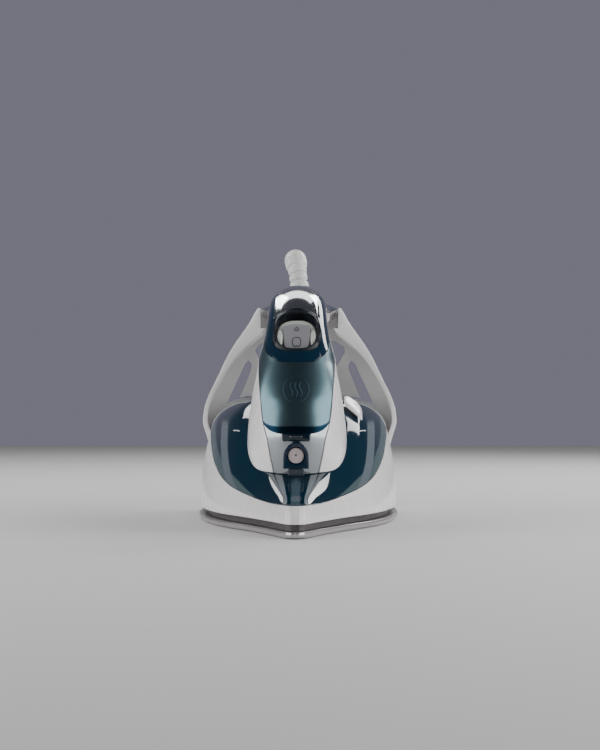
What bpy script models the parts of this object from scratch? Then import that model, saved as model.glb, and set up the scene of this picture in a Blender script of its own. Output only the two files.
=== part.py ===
"""A household steam iron with its flex and plug, every separate piece as its own object.

Sizes are in millimetres and become metres where a mesh is made. A place on the iron is
(x, s, z): x to the iron's left-hand side, s the distance back from the soleplate's tip, and
z up from the surface that it stands on. The tip points along -Y.
"""

import math

import bpy
import bmesh
import numpy as np
from mathutils import Matrix

# Driving dimensions, mm
LENGTH = 290.0  # tip to the heel's resting face
SOLE_LENGTH = 280.5
SOLE_HALF_WIDTH = 61.3
GAP = 0.35  # between pieces that touch
WALL = 2.2  # moulded wall
PLATE_TOP = 3.4  # top of the coated soleplate
SKIRT_BOTTOM = 7.5
BODY_END = 268.0  # rear of the skirt
TANK_END = 284.0
CORE_TOP = 90.0
SHELL_TOP = 94.0
HEEL_WALL = 3.0
DIAL_S = 172.0
CORD_DIAMETER = 7.0
BALL_CENTRE = (0.0, 277.0, 133.5)

# The plan of the hull: share of the length, share of the half width. The nose is an arc.
SOLE_PLAN = [(0, 0), (0.0045, 0.052), (0.022, 0.104), (0.107, 0.245), (0.221, 0.452), (0.36, 0.733),
             (0.5, 0.905), (0.663, 0.994), (0.8, 1.0), (0.909, 0.955), (0.963, 0.885), (0.99, 0.77),
             (1.0, 0.6), (1.0, 0.3), (1.0, 0.0)]
BODY_PLAN = [(0, 0), (0.0045, 0.052), (0.022, 0.104), (0.112, 0.245), (0.231, 0.455), (0.377, 0.735),
             (0.522, 0.905), (0.694, 0.994), (0.84, 1.0), (0.93, 0.975), (1.0, 0.935)]

# Heights along the body: where the tank meets the skirt, and the top of the tank
SEAM_LINE = [(0, 17.2), (31, 16.9), (50, 17.7), (69, 19.2), (88, 21.6), (104, 24.4), (122, 28.4),
             (140, 33.6), (158, 38.8), (185, 48.0), (215, 55.0), (245, 59.5), (290, 62.0)]
TANK_CREST = [(0, 16.9), (10, 17.5), (30, 23.0), (58, 32.0), (85, 45.0), (105, 57.0), (130, 69.0),
              (150, 74.3), (175, 76.0), (200, 76.3), (230, 76.0), (260, 75.0), (290, 73.5)]

# The column by height: front, widest line, rear, half width
COLUMN_FRONT = [(20, 60), (28, 57.5), (36, 55.2), (46, 53.8), (54, 53.4), (62, 53.6), (70, 55.0),
                (80, 59.4), (90, 65.0), (96, 68.8), (118, 86.0), (128, 94.0)]
COLUMN_MIDDLE = [(20, 108), (52, 104), (75, 100), (96, 98), (118, 104), (128, 112)]
COLUMN_REAR = [(20, 142), (60, 134), (75, 130), (85, 127.5), (96, 126), (107, 127), (118, 129), (128, 131)]
COLUMN_WIDTH = [(20, 27.0), (28, 27.8), (36, 28.5), (45, 28.8), (52.5, 28.6), (60, 28.0), (68, 26.9),
                (75.5, 25.8), (82, 24.6), (88, 23.3), (96, 22.2), (107, 19.9), (118, 17.6), (128, 16.8)]

# The handle's top line, from the panel's lip over the crest to the heel: s, z, half width, the
# depth from the line to the cover's edge, and the angle of that depth below level
HANDLE = [(64.0, 94.7, 22.2, 31.5, 0), (73.5, 104.5, 21.6, 27.5, 14), (84, 113.8, 20.2, 22.5, 32),
          (97, 124, 18.4, 18.0, 52), (112, 132.2, 17.4, 14.8, 70), (128, 137.6, 17.0, 13.4, 82),
          (145, 140.3, 17.0, 13.0, 90), (170, 140.6, 17.4, 13.0, 90), (205, 139.4, 18.0, 12.4, 90),
          (240, 137.4, 19.8, 10.0, 90), (262, 136.4, 22.2, 7.2, 90), (281, 135.4, 24.5, 5.2, 90)]
PANEL_LINE = [(54, 45.2), (58, 45.5), (64, 46.7), (72, 49.6), (80, 53.8), (90, 60.4), (96, 65.0)]
PANEL_WIDTH = [(54, 18.8), (64, 19.8), (74, 20.8), (82, 21.6), (90, 22.1), (96, 22.2)]

GRIP_EDGE = 127.2  # the cover's lower edge along the grip
GRIP_DEPTH = 14.2  # from there to the bottom of the grip

# The heel seen from behind: half width at each height
HEEL_OUTLINE = [(9, 51.5), (15, 54.8), (25, 56.4), (36, 57.6), (47, 60.4), (57.5, 63.2), (65, 62.4),
                (73, 59.8), (82, 55.4), (91, 51.0), (100, 46.4), (108, 41.4), (115.5, 35.9),
                (122, 31.4), (127.5, 28.4), (130.4, 26.4)]
HEEL_FRONT = [(9, BODY_END + 0.5), (60, BODY_END + 0.5), (80, 263), (100, 255), (118, 246), (131, 240)]


def station(table):
    """A smooth function through (position, value) pairs, with no overshoot between them."""
    at, value = (np.array(column, float) for column in zip(*table))
    step = np.diff(at)
    slope = np.diff(value) / step
    tangent = np.zeros(len(at))
    same = slope[:-1] * slope[1:] > 0
    before, after = 2 * step[1:] + step[:-1], step[1:] + 2 * step[:-1]
    safe = np.where(same, slope[:-1], 1.0), np.where(same, slope[1:], 1.0)
    tangent[1:-1] = np.where(same, (before + after) / (before / safe[0] + after / safe[1]), 0.0)
    tangent[0], tangent[-1] = slope[0], slope[-1]

    def at_position(p):
        p = np.clip(np.asarray(p, float), at[0], at[-1])
        i = np.clip(np.searchsorted(at, p, side="right") - 1, 0, len(step) - 1)
        t = (p - at[i]) / step[i]
        return ((2 * t**3 - 3 * t**2 + 1) * value[i] + (t**3 - 2 * t**2 + t) * step[i] * tangent[i]
                + (3 * t**2 - 2 * t**3) * value[i + 1] + (t**3 - t**2) * step[i] * tangent[i + 1])

    return at_position


def through(points, count, even=1.0):
    """count points along a Catmull-Rom curve through points. even below 1 crowds them to the start."""
    p = np.array(points, float)
    p = np.vstack([2 * p[0] - p[1], p, 2 * p[-1] - p[-2]])
    t = np.linspace(0, 1, count) ** (1 / even) * (len(points) - 1)
    i = np.minimum(t.astype(int), len(points) - 2)
    u = (t - i)[:, None]
    a, b, c, d = p[i], p[i + 1], p[i + 2], p[i + 3]
    return 0.5 * (2 * b + (c - a) * u + (2 * a - 5 * b + 4 * c - d) * u**2 + (3 * b - a - 3 * c + d) * u**3)


seam_height = station(SEAM_LINE)
crest_height = station(TANK_CREST)
column_front = station(COLUMN_FRONT)
column_middle = station(COLUMN_MIDDLE)
column_rear = station(COLUMN_REAR)
column_width = station(COLUMN_WIDTH)
panel_front = station(PANEL_LINE)
panel_width = station(PANEL_WIDTH)
heel_width = station(HEEL_OUTLINE)
heel_front = station(HEEL_FRONT)


# Making objects

def material(name, colour, roughness, metallic=0.0):
    made = bpy.data.materials.get(name) or bpy.data.materials.new(name)
    made.use_nodes = True
    shader = made.node_tree.nodes["Principled BSDF"]
    shader.inputs["Base Color"].default_value = (*colour, 1.0)
    shader.inputs["Roughness"].default_value = roughness
    shader.inputs["Metallic"].default_value = metallic
    return made


def finishes():
    return {
        "white": material("white_shell", (0.72, 0.69, 0.70), 0.3),
        "navy": material("navy_gloss", (0.01, 0.04, 0.08), 0.12),
        "teal": material("teal_panel", (0.03, 0.16, 0.22), 0.35, 0.3),
        "tank": material("tank_tint", (0.01, 0.07, 0.12), 0.08),
        "silver": material("sole_silver", (0.55, 0.53, 0.53), 0.35, 0.9),
        "chrome": material("chrome", (0.85, 0.87, 0.88), 0.08, 1.0),
        "dark": material("dark_plastic", (0.04, 0.035, 0.035), 0.5),
        "grey": material("button_grey", (0.42, 0.42, 0.45), 0.4),
        "pale": material("pale_cup", (0.62, 0.64, 0.6), 0.4),
        "metal": material("inner_metal", (0.6, 0.6, 0.6), 0.4, 1.0),
        "duct": material("duct_grey", (0.3, 0.32, 0.36), 0.3),
        "cord": material("cord_white", (0.7, 0.7, 0.69), 0.7),
        "board": material("board_green", (0.05, 0.2, 0.09), 0.5),
        "lens": material("pilot_red", (0.6, 0.05, 0.03), 0.2),
    }


def place(points):
    """Millimetres on the iron to metres in the object's frame."""
    return (np.asarray(points, float) - (0.0, LENGTH / 2, 0.0)) / 1000


def make(name, points, faces, finish, merge=0.002):
    """One closed object from points in mm and faces, with its normals turned outwards."""
    mesh = bpy.data.meshes.new(name)
    mesh.from_pydata([tuple(p) for p in place(points)], [], faces)
    work = bmesh.new()
    work.from_mesh(mesh)
    bmesh.ops.remove_doubles(work, verts=work.verts, dist=merge / 1000)
    bmesh.ops.dissolve_degenerate(work, edges=work.edges, dist=merge / 2000)
    bmesh.ops.recalc_face_normals(work, faces=work.faces)
    work.to_mesh(mesh)
    work.free()
    if len(mesh.polygons) and mesh_volume(mesh) < 0:
        mesh.flip_normals()
    mesh.materials.append(FINISH[finish])
    mesh.shade_smooth()
    mesh.set_sharp_from_angle(angle=math.radians(35))
    made = bpy.data.objects.new(name, mesh)
    bpy.context.scene.collection.objects.link(made)
    return made


def mesh_volume(mesh):
    mesh.calc_loop_triangles()
    corners = np.array([[mesh.vertices[v].co for v in t.vertices] for t in mesh.loop_triangles])
    return float(np.linalg.det(corners).sum())


def grid_faces(rows, columns, start=0, wrap=False):
    last = columns if wrap else columns - 1
    return [(start + i * columns + j, start + (i + 1) * columns + j,
             start + (i + 1) * columns + (j + 1) % columns, start + i * columns + (j + 1) % columns)
            for i in range(rows - 1) for j in range(last)]


def shell(name, outer, inner, finish, wrap=False):
    """A wall between two grids of the same size, closed along every free edge."""
    rows, columns = outer.shape[:2]
    size = rows * columns
    faces = grid_faces(rows, columns, 0, wrap) + grid_faces(rows, columns, size, wrap)
    last = columns if wrap else columns - 1
    for i in (0, rows - 1):
        for j in range(last):
            a, b = i * columns + j, i * columns + (j + 1) % columns
            faces.append((a, b, b + size, a + size))
    if not wrap:
        for j in (0, columns - 1):
            for i in range(rows - 1):
                a, b = i * columns + j, (i + 1) * columns + j
                faces.append((a, b, b + size, a + size))
    return make(name, np.concatenate([outer.reshape(-1, 3), inner.reshape(-1, 3)]), faces, finish)


def stack(name, rings, finish):
    """A solid through closed rings of points, with a fan on each end."""
    rings = np.array(rings, float)
    rows, columns = rings.shape[:2]
    points = np.concatenate([rings.reshape(-1, 3), rings[0].mean(0)[None], rings[-1].mean(0)[None]])
    faces = grid_faces(rows, columns, 0, True)
    for end, row in ((rows * columns, 0), (rows * columns + 1, rows - 1)):
        faces += [(row * columns + j, row * columns + (j + 1) % columns, end) for j in range(columns)]
    return make(name, points, faces, finish)


def block(name, centre, size, finish, round_by=0.0):
    """A box in mm, with its long edges rounded."""
    x, s, z = centre
    half = np.array(size) / 2
    made = stack(name, [rounded(half[0], half[1], round_by, (x, s, z + h)) for h in (-half[2], half[2])],
                 finish)
    return made


def rounded(half_x, half_s, corner, centre, steps=3):
    """A rectangle with round corners, level at the centre's height."""
    if corner <= 0:
        ring = [(half_x, -half_s), (half_x, half_s), (-half_x, half_s), (-half_x, -half_s)]
    else:
        ring = []
        for k, (sx, ss) in enumerate(((1, 1), (-1, 1), (-1, -1), (1, -1))):
            for a in np.linspace(k * 90, k * 90 + 90, steps + 1):
                turn = math.radians(a)
                ring.append((sx * (half_x - corner) + corner * math.cos(turn),
                             ss * (half_s - corner) + corner * math.sin(turn)))
    return [(centre[0] + a, centre[1] + b, centre[2]) for a, b in ring]


def turned(name, profile, centre, finish, sides=16, axis=(0, 0, 1)):
    """A profile of (radius, height) pairs turned about axis through centre. A zero radius closes it."""
    along = np.array(axis, float) / np.linalg.norm(axis)
    across = np.cross(along, (1, 0, 0) if abs(along[0]) < 0.9 else (0, 1, 0))
    across /= np.linalg.norm(across)
    other = np.cross(along, across)
    angle = np.arange(sides) * 2 * math.pi / sides
    rings = [[np.array(centre) + along * h + r * (across * math.cos(a) + other * math.sin(a))
              for a in angle] for r, h in profile]
    points = np.array(rings).reshape(-1, 3)
    closed = profile[0][0] > 0
    faces = grid_faces(len(profile), sides, 0, True)
    if closed:
        last = (len(profile) - 1) * sides
        faces += [(last + j, j, (j + 1) % sides, last + (j + 1) % sides) for j in range(sides)]
    return make(name, points, faces, finish)


def ring_tube(name, inside, outside, low, high, centre, finish, sides=16, axis=(0, 0, 1)):
    profile = [(outside, low), (outside, high), (inside, high), (inside, low)]
    return turned(name, profile, centre, finish, sides, axis)


def rod(name, radius, low, high, centre, finish, sides=12, axis=(0, 0, 1)):
    return turned(name, [(0, low), (radius, low), (radius, high), (0, high)], centre, finish, sides, axis)


def pipe(name, path, radius, finish, sides=8):
    """A round bar of the given radius along a path, with flat ends."""
    path = np.array(path, float)
    tangent = np.gradient(path, axis=0)
    tangent /= np.linalg.norm(tangent, axis=1)[:, None]
    side = np.cross(tangent[0], (0, 0, 1) if abs(tangent[0][2]) < 0.9 else (1, 0, 0))
    rings, angle = [], np.arange(sides) * 2 * math.pi / sides
    for point, along in zip(path, tangent):
        side = side - along * np.dot(side, along)
        side /= np.linalg.norm(side)
        up = np.cross(along, side)
        rings.append([point + radius * (side * math.cos(a) + up * math.sin(a)) for a in angle])
    return stack(name, rings, finish)


def cut(target, cutter):
    """Cuts target by cutter, which is left out of the model."""
    cutter.hide_render = True
    cutter.display_type = "WIRE"
    modifier = target.modifiers.new("cut_" + cutter.name, "BOOLEAN")
    modifier.operation = "DIFFERENCE"
    modifier.object = cutter


def join(target, added):
    """Adds a shape to target, which then holds both as one body."""
    added.hide_render = True
    added.display_type = "WIRE"
    modifier = target.modifiers.new("join_" + added.name, "BOOLEAN")
    modifier.operation = "UNION"
    modifier.object = added


# The hull: soleplate, casting, heat shield, skirt and tank

def sole_loop(inset, z, count=26, end=None):
    """The soleplate's outline as a closed loop, moved inwards by inset. end is its rearmost place."""
    half = through(SOLE_PLAN, count, 0.8)
    s = inset + half[:, 0] * ((end or SOLE_LENGTH - inset) - inset)
    x = half[:, 1] * (SOLE_HALF_WIDTH - inset)
    right = np.stack([x, s, np.full(count, z)], axis=1)
    return np.vstack([right, right[-2:0:-1] * (-1, 1, 1)])


def soleplate():
    plate = stack("soleplate", [sole_loop(1.5, 0.0), sole_loop(0.2, 1.1), sole_loop(0.0, 2.2),
                                sole_loop(0.9, PLATE_TOP)], "silver")
    for row, (s, x) in enumerate(STEAM_HOLES):
        for side in ((1,) if x == 0 else (-1, 1)):
            hole = rod(f"steam_hole_{row}_{side}", 1.9, -1, PLATE_TOP + 1, (side * x, s, 0), "dark", 8)
            cut(plate, hole)
    return plate


STEAM_HOLES = [(26, 0), (48, 9), (72, 18), (98, 28), (126, 36), (156, 41)]


def base_casting():
    """The aluminium casting, with the open steam chamber in its top."""
    casting = stack("base_casting", [sole_loop(9.5, PLATE_TOP + GAP, 18, 267), sole_loop(9.5, 8.0, 18, 267),
                                     sole_loop(11.5, 12.0, 18, 265)], "metal")
    cut(casting, block("chamber_cutter", (0, 140, 10.5), (23, 122, 7), "metal", 9))
    return casting


def heating_element():
    """The U of tubular heater on the casting, with its two ends turned up as terminals."""
    low = 12.0 + GAP + 2.9
    right = [(0, 56, low), (10, 61, low), (20, 84, low), (29, 114, low), (34.5, 150, low), (36, 190, low),
             (34, 214, low), (31, 224, low + 1.5), (30, 228, low + 9)]
    left = [(-x, s, z) for x, s, z in right[:0:-1]]
    return pipe("heating_element", through(left + right, 33), 2.9, "metal", 6)


def chamber_cover():
    return block("chamber_cover", (0, 140, 13.0), (27, 128, 1.3), "metal", 11)


def heat_shield():
    """The dark ring that keeps the casting's heat from the skirt."""
    heights = (PLATE_TOP + GAP, 8.6)
    outer = np.stack([sole_loop(5.2, z, 22) for z in heights])
    inner = np.stack([sole_loop(7.6, z, 22) for z in heights])
    return shell("heat_shield", outer, inner, "dark", wrap=True)


def body_line(nose, half_width, fullness, count):
    """One level of the body from its nose to its rear: half widths and distances."""
    half = through(BODY_PLAN, count, 0.8)
    return np.maximum(half[:, 1], 0) ** fullness * half_width, nose + half[:, 0] * (BODY_END - nose)


def skirt_point_grid(wall, count=22, levels=5):
    """The skirt's surface, moved inwards by wall. It swells a little above its bottom edge and
    draws in to the seam with the tank."""
    rows = []
    for k in range(levels):
        v = k / (levels - 1)
        lean = v**1.7
        x, s = body_line(1.0 + 6.0 * lean + wall * 1.15, 60.2 + 0.9 * math.sin(math.pi * v) - 5.6 * lean
                         - wall, 1.0 - 0.05 * v, count)
        z = SKIRT_BOTTOM + (seam_height(s) - SKIRT_BOTTOM) * v
        right = np.stack([x, s, z], axis=1)
        rows.append(np.vstack([right[::-1], right[1:] * (-1, 1, 1)]))
    return np.stack(rows)


def skirt():
    return shell("skirt", skirt_point_grid(0), skirt_point_grid(WALL), "white")


def tank_half_width(wall=0.0, count=60):
    """The tank's half width where it meets the skirt, as a function of s."""
    x, s = body_line(7.0 + wall * 1.15, 54.6 - wall, 0.95, count)
    s = np.append(s, [TANK_END - 5, TANK_END])
    x = np.append(x, [x[-1] - 2.0, x[-1] - 3.5])
    return lambda p: np.interp(p, s, x)


TANK_POWERS = (4.2, 1.35)


def tank_height(x, s, lift=0.0):
    """The top of the tank over a point of its plan: flat across the middle, rounding to the seam."""
    share = np.clip(np.abs(x) / np.maximum(tank_half_width()(s) + lift, 1e-6), 0, 1)
    low = seam_height(s)
    return low + (crest_height(s) + lift - low) * (1 - share ** TANK_POWERS[0]) ** (1 / TANK_POWERS[1])


def tank_grid(wall, count=24, around=17):
    """The tank's surface from its nose to its rear, moved inwards by wall."""
    nose = 7.0 + wall * 1.15
    t = np.linspace(0, 1, count) ** 1.5
    s = nose + t * (TANK_END - wall - nose)
    angle = np.linspace(0, math.pi, around)
    rows = []
    for si in s:
        width = float(tank_half_width(wall)(si))
        low = float(seam_height(si)) + 0.55
        top = max(float(crest_height(si)) - wall, low + 0.01 * width)
        share = np.sign(np.cos(angle)) * np.abs(np.cos(angle)) ** (2 / TANK_POWERS[0] * 1.15)
        lift = (1 - np.abs(share) ** TANK_POWERS[0]) ** (1 / TANK_POWERS[1])
        rows.append(np.stack([width * share, np.full(around, si), low + (top - low) * lift], axis=1))
    return np.stack(rows)


def tank_shell():
    """The tinted upper tank: a dome open below, with a flat rear wall and holes in its top."""
    outer, inner = tank_grid(0.0), tank_grid(WALL)
    rows, columns = outer.shape[:2]
    size = rows * columns
    points = np.concatenate([outer.reshape(-1, 3), inner.reshape(-1, 3)])
    faces = grid_faces(rows, columns) + grid_faces(rows, columns, size)
    for j in (0, columns - 1):
        faces += [(i * columns + j, (i + 1) * columns + j, (i + 1) * columns + j + size,
                   i * columns + j + size) for i in range(rows - 1)]
    last = (rows - 1) * columns
    faces.append(tuple(last + j for j in range(columns)))
    faces.append(tuple(size + last + j for j in range(columns)))
    faces.append((last, last + columns - 1, size + last + columns - 1, size + last))
    dome = make("tank_shell", points, faces, "tank")
    cut(dome, rod("stem_hole", 4.6, 50, 90, (0, DIAL_S, 0), "dark", 12))
    cut(dome, rod("lead_hole", 5.0, 40, 90, (0, 116, 0), "dark", 12))
    cut(dome, rod("feed_hole", 7.0, 20, 90, (0, 88, 0), "dark", 12))
    cut(dome, rod("clean_hole", 3.6, 40, 90, (CLEAN_BUTTON[0], CLEAN_BUTTON[1], 0), "dark", 10))
    return dome


def tank_base():
    """The sheet that closes the tank from below, just inside the seam."""
    t = np.linspace(0, 1, 13) ** 1.2
    s = 42 + t * (TANK_END - 8 - 42)
    across = np.linspace(-1, 1, 7)
    faces = []
    for lift in (0.6, 2.2):
        rows = [np.stack([(tank_half_width(WALL)(si) - 1.9) * across, np.full(7, si),
                          np.full(7, float(seam_height(si)) + lift)], axis=1) for si in s]
        faces.append(np.stack(rows))
    sheet = shell("tank_base", faces[1], faces[0], "duct")
    cut(sheet, rod("base_stem_hole", 6.9, 20, 90, (0, DIAL_S, 0), "dark", 12))
    cut(sheet, rod("base_lead_hole", 6.9, 10, 90, (0, 116, 0), "dark", 12))
    cut(sheet, rod("base_valve_hole", 3.6, 10, 60, (0, 88, 0), "dark", 10))
    return sheet


def tunnels():
    """The two dry wells through the tank, for the dial's stem and for the mains leads."""
    for name, s in (("stem_tunnel", DIAL_S), ("lead_tunnel", 116.0)):
        low, high = float(seam_height(s)) + 3.0, float(crest_height(s - 6.5)) - WALL - 1.2
        ring_tube(name, 5.0, 6.5, low, high, (0, s, 0), "duct", 12)


# The column, its panel and the handle

def column_point(angle, z, wall=0.0):
    """A point on the column: angle 0 is the front, 90 the widest line, 180 the rear."""
    front, middle, rear = column_front(z) + wall, column_middle(z), column_rear(z) - wall
    reach = np.where(angle <= math.pi / 2, middle - front, rear - middle)
    x = (column_width(z) - wall) * np.sin(angle) ** 0.92
    return np.stack([x, middle - reach * np.cos(angle), z], axis=-1)


def column_foot(angle, wall, gap):
    """The height at which the column stands on the tank, for each angle round it."""
    low, high = np.full(angle.shape, 15.0), np.full(angle.shape, 90.0)
    for _ in range(30):
        middle = (low + high) / 2
        point = column_point(angle, middle, wall)
        under = middle < tank_height(point[:, 0], point[:, 1]) + gap
        low, high = np.where(under, middle, low), np.where(under, high, middle)
    return high


def column_grid(angles, wall, top, levels, side):
    """The column's surface between two angles, from the tank up to the height top(angle)."""
    foot = np.maximum(column_foot(angles, 0.0, GAP), column_foot(angles, WALL, GAP)) + 0.15
    rows = []
    for v in np.linspace(0, 1, levels):
        z = foot + (top(angles) - foot) * v
        rows.append(column_point(angles, z, wall) * (side, 1, 1))
    return np.stack(rows)


def seam_angle(z):
    """The angle at which the white side shells meet the front, for each height."""
    x = station([(28, 12.0), (34, 12.6), (42, 14.4), (52, 16.2), (58, 17.9), (64, 19.3), (74, 20.4),
                 (82, 21.0), (90, 21.4), (96, 21.6)])(z)
    return np.arcsin(np.clip(x / column_width(z), 0, 0.999) ** (1 / 0.92))


def column_core():
    """The glossy front of the column, from the tank to the handle, open to the rear."""
    levels, across = 11, 13
    foot_angles = np.linspace(-1, 1, across)
    grids = []
    for wall in (0.0, WALL):
        rows = []
        for v in np.linspace(0, 1, levels):
            spread = seam_angle(34 + (CORE_TOP - 34) * v)
            angles = np.abs(foot_angles) * (spread - 0.016)
            foot = np.maximum(column_foot(angles, 0.0, GAP), column_foot(angles, WALL, GAP)) + 0.15
            z = foot + (CORE_TOP - foot) * v
            rows.append(column_point(angles, z, wall) * np.stack(
                [np.sign(foot_angles + 1e-9), np.ones(across), np.ones(across)], axis=-1))
        grids.append(np.stack(rows))
    core = shell("column_core", grids[0], grids[1], "navy")
    cut(core, block("inlet_cutter", (0, 55, 54.3), (12.4, 16, 7.3), "dark"))
    cut(core, rod("spray_hole", 2.4, -8, 8, (0, 55, NOZZLE_Z), "dark", 10, (0, 1, 0)))
    return core


def shell_top(angles):
    """The height of the side shells' top edge: just under the cover's edge, and at the back under
    the grip."""
    edge = handle_point(np.linspace(0, 0.55, 60), math.radians(88), 0.0)
    z = np.full(angles.shape, 100.0)
    for _ in range(40):
        point = column_point(angles, z)
        share = np.clip(np.abs(point[:, 0]) / 16.6, 0, 1)
        grip = GRIP_EDGE - GRIP_DEPTH * (1 - share**2) ** 0.4
        limit = np.minimum(np.interp(point[:, 1], edge[:, 1], edge[:, 2]), grip)
        z = (z + np.maximum(limit - 2.0, SHELL_TOP)) / 2
    return z


def column_shells():
    """The white side shells, which meet at the back of the column."""
    for side, name in ((-1, "column_shell_right"), (1, "column_shell_left")):
        grids = []
        for wall in (0.0, WALL):
            rows = []
            for v in np.linspace(0, 1, 9):
                start = seam_angle(34 + (SHELL_TOP - 34) * v) + 0.018
                angles = start + (math.pi - 0.012 - start) * np.linspace(0, 1, 15)
                foot = np.maximum(column_foot(angles, 0.0, GAP), column_foot(angles, WALL, GAP)) + 0.15
                z = foot + (shell_top(angles) - foot) * v
                rows.append(column_point(angles, z, wall) * (side, 1, 1))
            grids.append(np.stack(rows))
        shell(name, grids[0], grids[1], "white")


def panel_point(turn, z, depth=0.0):
    """A point on the front panel: turn 0 is its middle line. depth is below its face."""
    rise = np.clip((z - 74.0) / 20.7, 0, 1)
    belly = 13.5 + (HANDLE[0][3] - 13.5) * rise**1.6
    width = panel_width(z) + (1.0 - rise)
    return np.stack([(width - depth) * np.sin(turn),
                     panel_front(z) + depth + (belly - depth) * (1 - np.cos(turn)), z], axis=-1)


COVER_START = station([(0, 0.003), (20, 0.004), (29, 0.012), (38.5, 0.033), (53.3, 0.086),
                       (65.7, 0.177), (77, 0.220), (88, 0.232)])
FRONT_TURNS = [0, 10, 20, 29, 38, 46, 54, 60, 66, 77]


def mirrored(degrees):
    """The angles on both sides, from the far left to the far right."""
    return np.array([-d for d in degrees[:0:-1]] + degrees, float)


def cover_start(turn):
    """How far along the handle the cover begins: later at its sides, round which the panel rises."""
    return COVER_START(np.abs(np.degrees(turn)))


def front_panel():
    """The satin panel on the front of the handle, which rises to a horn on each side of the rocker."""
    spread = mirrored(FRONT_TURNS + [86]) / 86
    grids = []
    for depth in (0.0, 1.9):
        rows = []
        for v in np.linspace(0, 1, 10):
            turns = spread * math.radians(66 + 14 * v**2)
            low = 54.6 + 6.5 * np.abs(spread) ** 3.2
            rows.append(panel_point(turns, low + (94.4 - low) * v, depth))
        for v in np.linspace(0.2, 1, 5):
            turns = spread * math.radians(80 + 6 * v)
            inner = np.maximum(np.abs(turns) - math.radians(1.6), 0)
            rows.append(handle_point((cover_start(inner) - 0.003) * v, turns, -depth))
        grids.append(np.stack(rows))
    return shell("front_panel", grids[0], grids[1], "teal")


def handle_point(along, turn, lift):
    """A point on the handle's skin, moved outwards by lift: along runs from 0 at the panel to 1 at
    the heel, and turn is 0 on the top line and 90 degrees at the lower edges."""
    line = through(HANDLE, 300)
    at = np.linspace(0, 1, 300)
    along, turn = np.broadcast_arrays(np.asarray(along, float), np.asarray(turn, float))
    s, z, width, depth, angle = (np.interp(along, at, column) for column in line.T)
    sink = (depth + lift) * (1 - np.cos(turn)) - lift
    tilt = np.radians(angle)
    return np.stack([(width + lift) * np.sin(turn), s + sink * np.cos(tilt), z - sink * np.sin(tilt)],
                    axis=-1)


def handle_top_cover():
    turns = np.radians(mirrored(FRONT_TURNS + [88]))
    start = cover_start(turns)
    share = np.linspace(0, 1, 27)
    grids = [np.stack([handle_point(start + (1 - start) * v, turns, lift) for v in share])
             for lift in (0.0, -WALL)]
    cover = shell("handle_top_cover", grids[0], grids[1], "navy")
    cut(cover, well_solid("well_cutter", 14.0, 18.4, -9, 24))
    cut(cover, turned("ball_cutter", [(0, -12), (8.4, -12), (8.4, 16), (0, 16)], BALL_CENTRE, "dark", 14))
    return cover


WELL_CENTRE = (0.0, 84.6, 112.6)
WELL_TILT = math.radians(41.5)  # the well's face leans back by this from level
WELL_UP = (0.0, -math.sin(WELL_TILT), math.cos(WELL_TILT))
WELL_ALONG = (0.0, math.cos(WELL_TILT), math.sin(WELL_TILT))
ROCKER_PIN = tuple(c - 6.2 * u for c, u in zip(WELL_CENTRE, WELL_UP))


def well_ring(half_x, half_long, height, steps=20):
    """An oval across the handle's face at a height above it."""
    turn = np.arange(steps) * 2 * math.pi / steps
    square = 0.82
    x = half_x * np.sign(np.cos(turn)) * np.abs(np.cos(turn)) ** square
    along = half_long * np.sign(np.sin(turn)) * np.abs(np.sin(turn)) ** square
    return (np.array(WELL_CENTRE) + np.outer(x, (1, 0, 0)) + np.outer(along, WELL_ALONG)
            + height * np.array(WELL_UP))


def well_solid(name, half_x, half_long, low, high, finish="dark"):
    return stack(name, [well_ring(half_x, half_long, low), well_ring(half_x, half_long, high)], finish)


def rocker_well():
    """The dark oval liner round the rocker."""
    outer = np.stack([well_ring(13.6, 18.0, h) for h in (-6.0, 1.6)])
    inner = np.stack([well_ring(12.1, 16.6, h) for h in (-6.0, 1.6)])
    return shell("rocker_well", outer, inner, "dark", wrap=True)


def rocker():
    """The thumb rocker: a pale body, the grey cap on its front, and the pin that it tips on."""
    shift = -1.6 * np.array(WELL_ALONG)
    stack("rocker_body", [well_ring(11.4, 13.0, h) + shift for h in (-4.4, -2.4)]
          + [well_ring(10.7, 12.3, -1.6) + shift], "pale")
    profile = through([(-14.0, -0.7), (-10, 0.9), (-4.2, 1.9), (1.8, 1.8), (5.2, 0.9)], 9)
    outer, inner = [], []
    for along, up in profile:
        taper = max(0.0, 1 - ((along + 1) / 16.5) ** 2) ** 0.25
        for grid, height, crown in ((outer, up, 0.006), (inner, -1.25, 0.0)):
            grid.append([np.array(WELL_CENTRE) + x * taper * np.array((1, 0, 0))
                         + along * np.array(WELL_ALONG)
                         + (height - crown * x * x) * np.array(WELL_UP)
                         for x in np.linspace(-7.7, 7.7, 5)])
    shell("rocker_cap", np.array(outer), np.array(inner), "grey")
    rod("rocker_pin", 1.2, -7.6, 7.6, ROCKER_PIN, "metal", 8, (1, 0, 0))


def chrome_trim():
    """The plated strip over the front of the crest."""
    grids = []
    for lift in (1.3, 0.5):
        rows = []
        for v in np.linspace(0, 1, 14):
            turns = np.linspace(-1, 1, 9) * math.asin(12.9 / (17.3 + lift))
            begin = 0.287 - 0.017 * np.abs(np.linspace(-1, 1, 9)) ** 2
            rows.append(handle_point(begin + (0.70 - begin) * v, turns, lift))
        grids.append(np.stack(rows))
    return shell("chrome_trim", grids[0], grids[1], "chrome")


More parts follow.
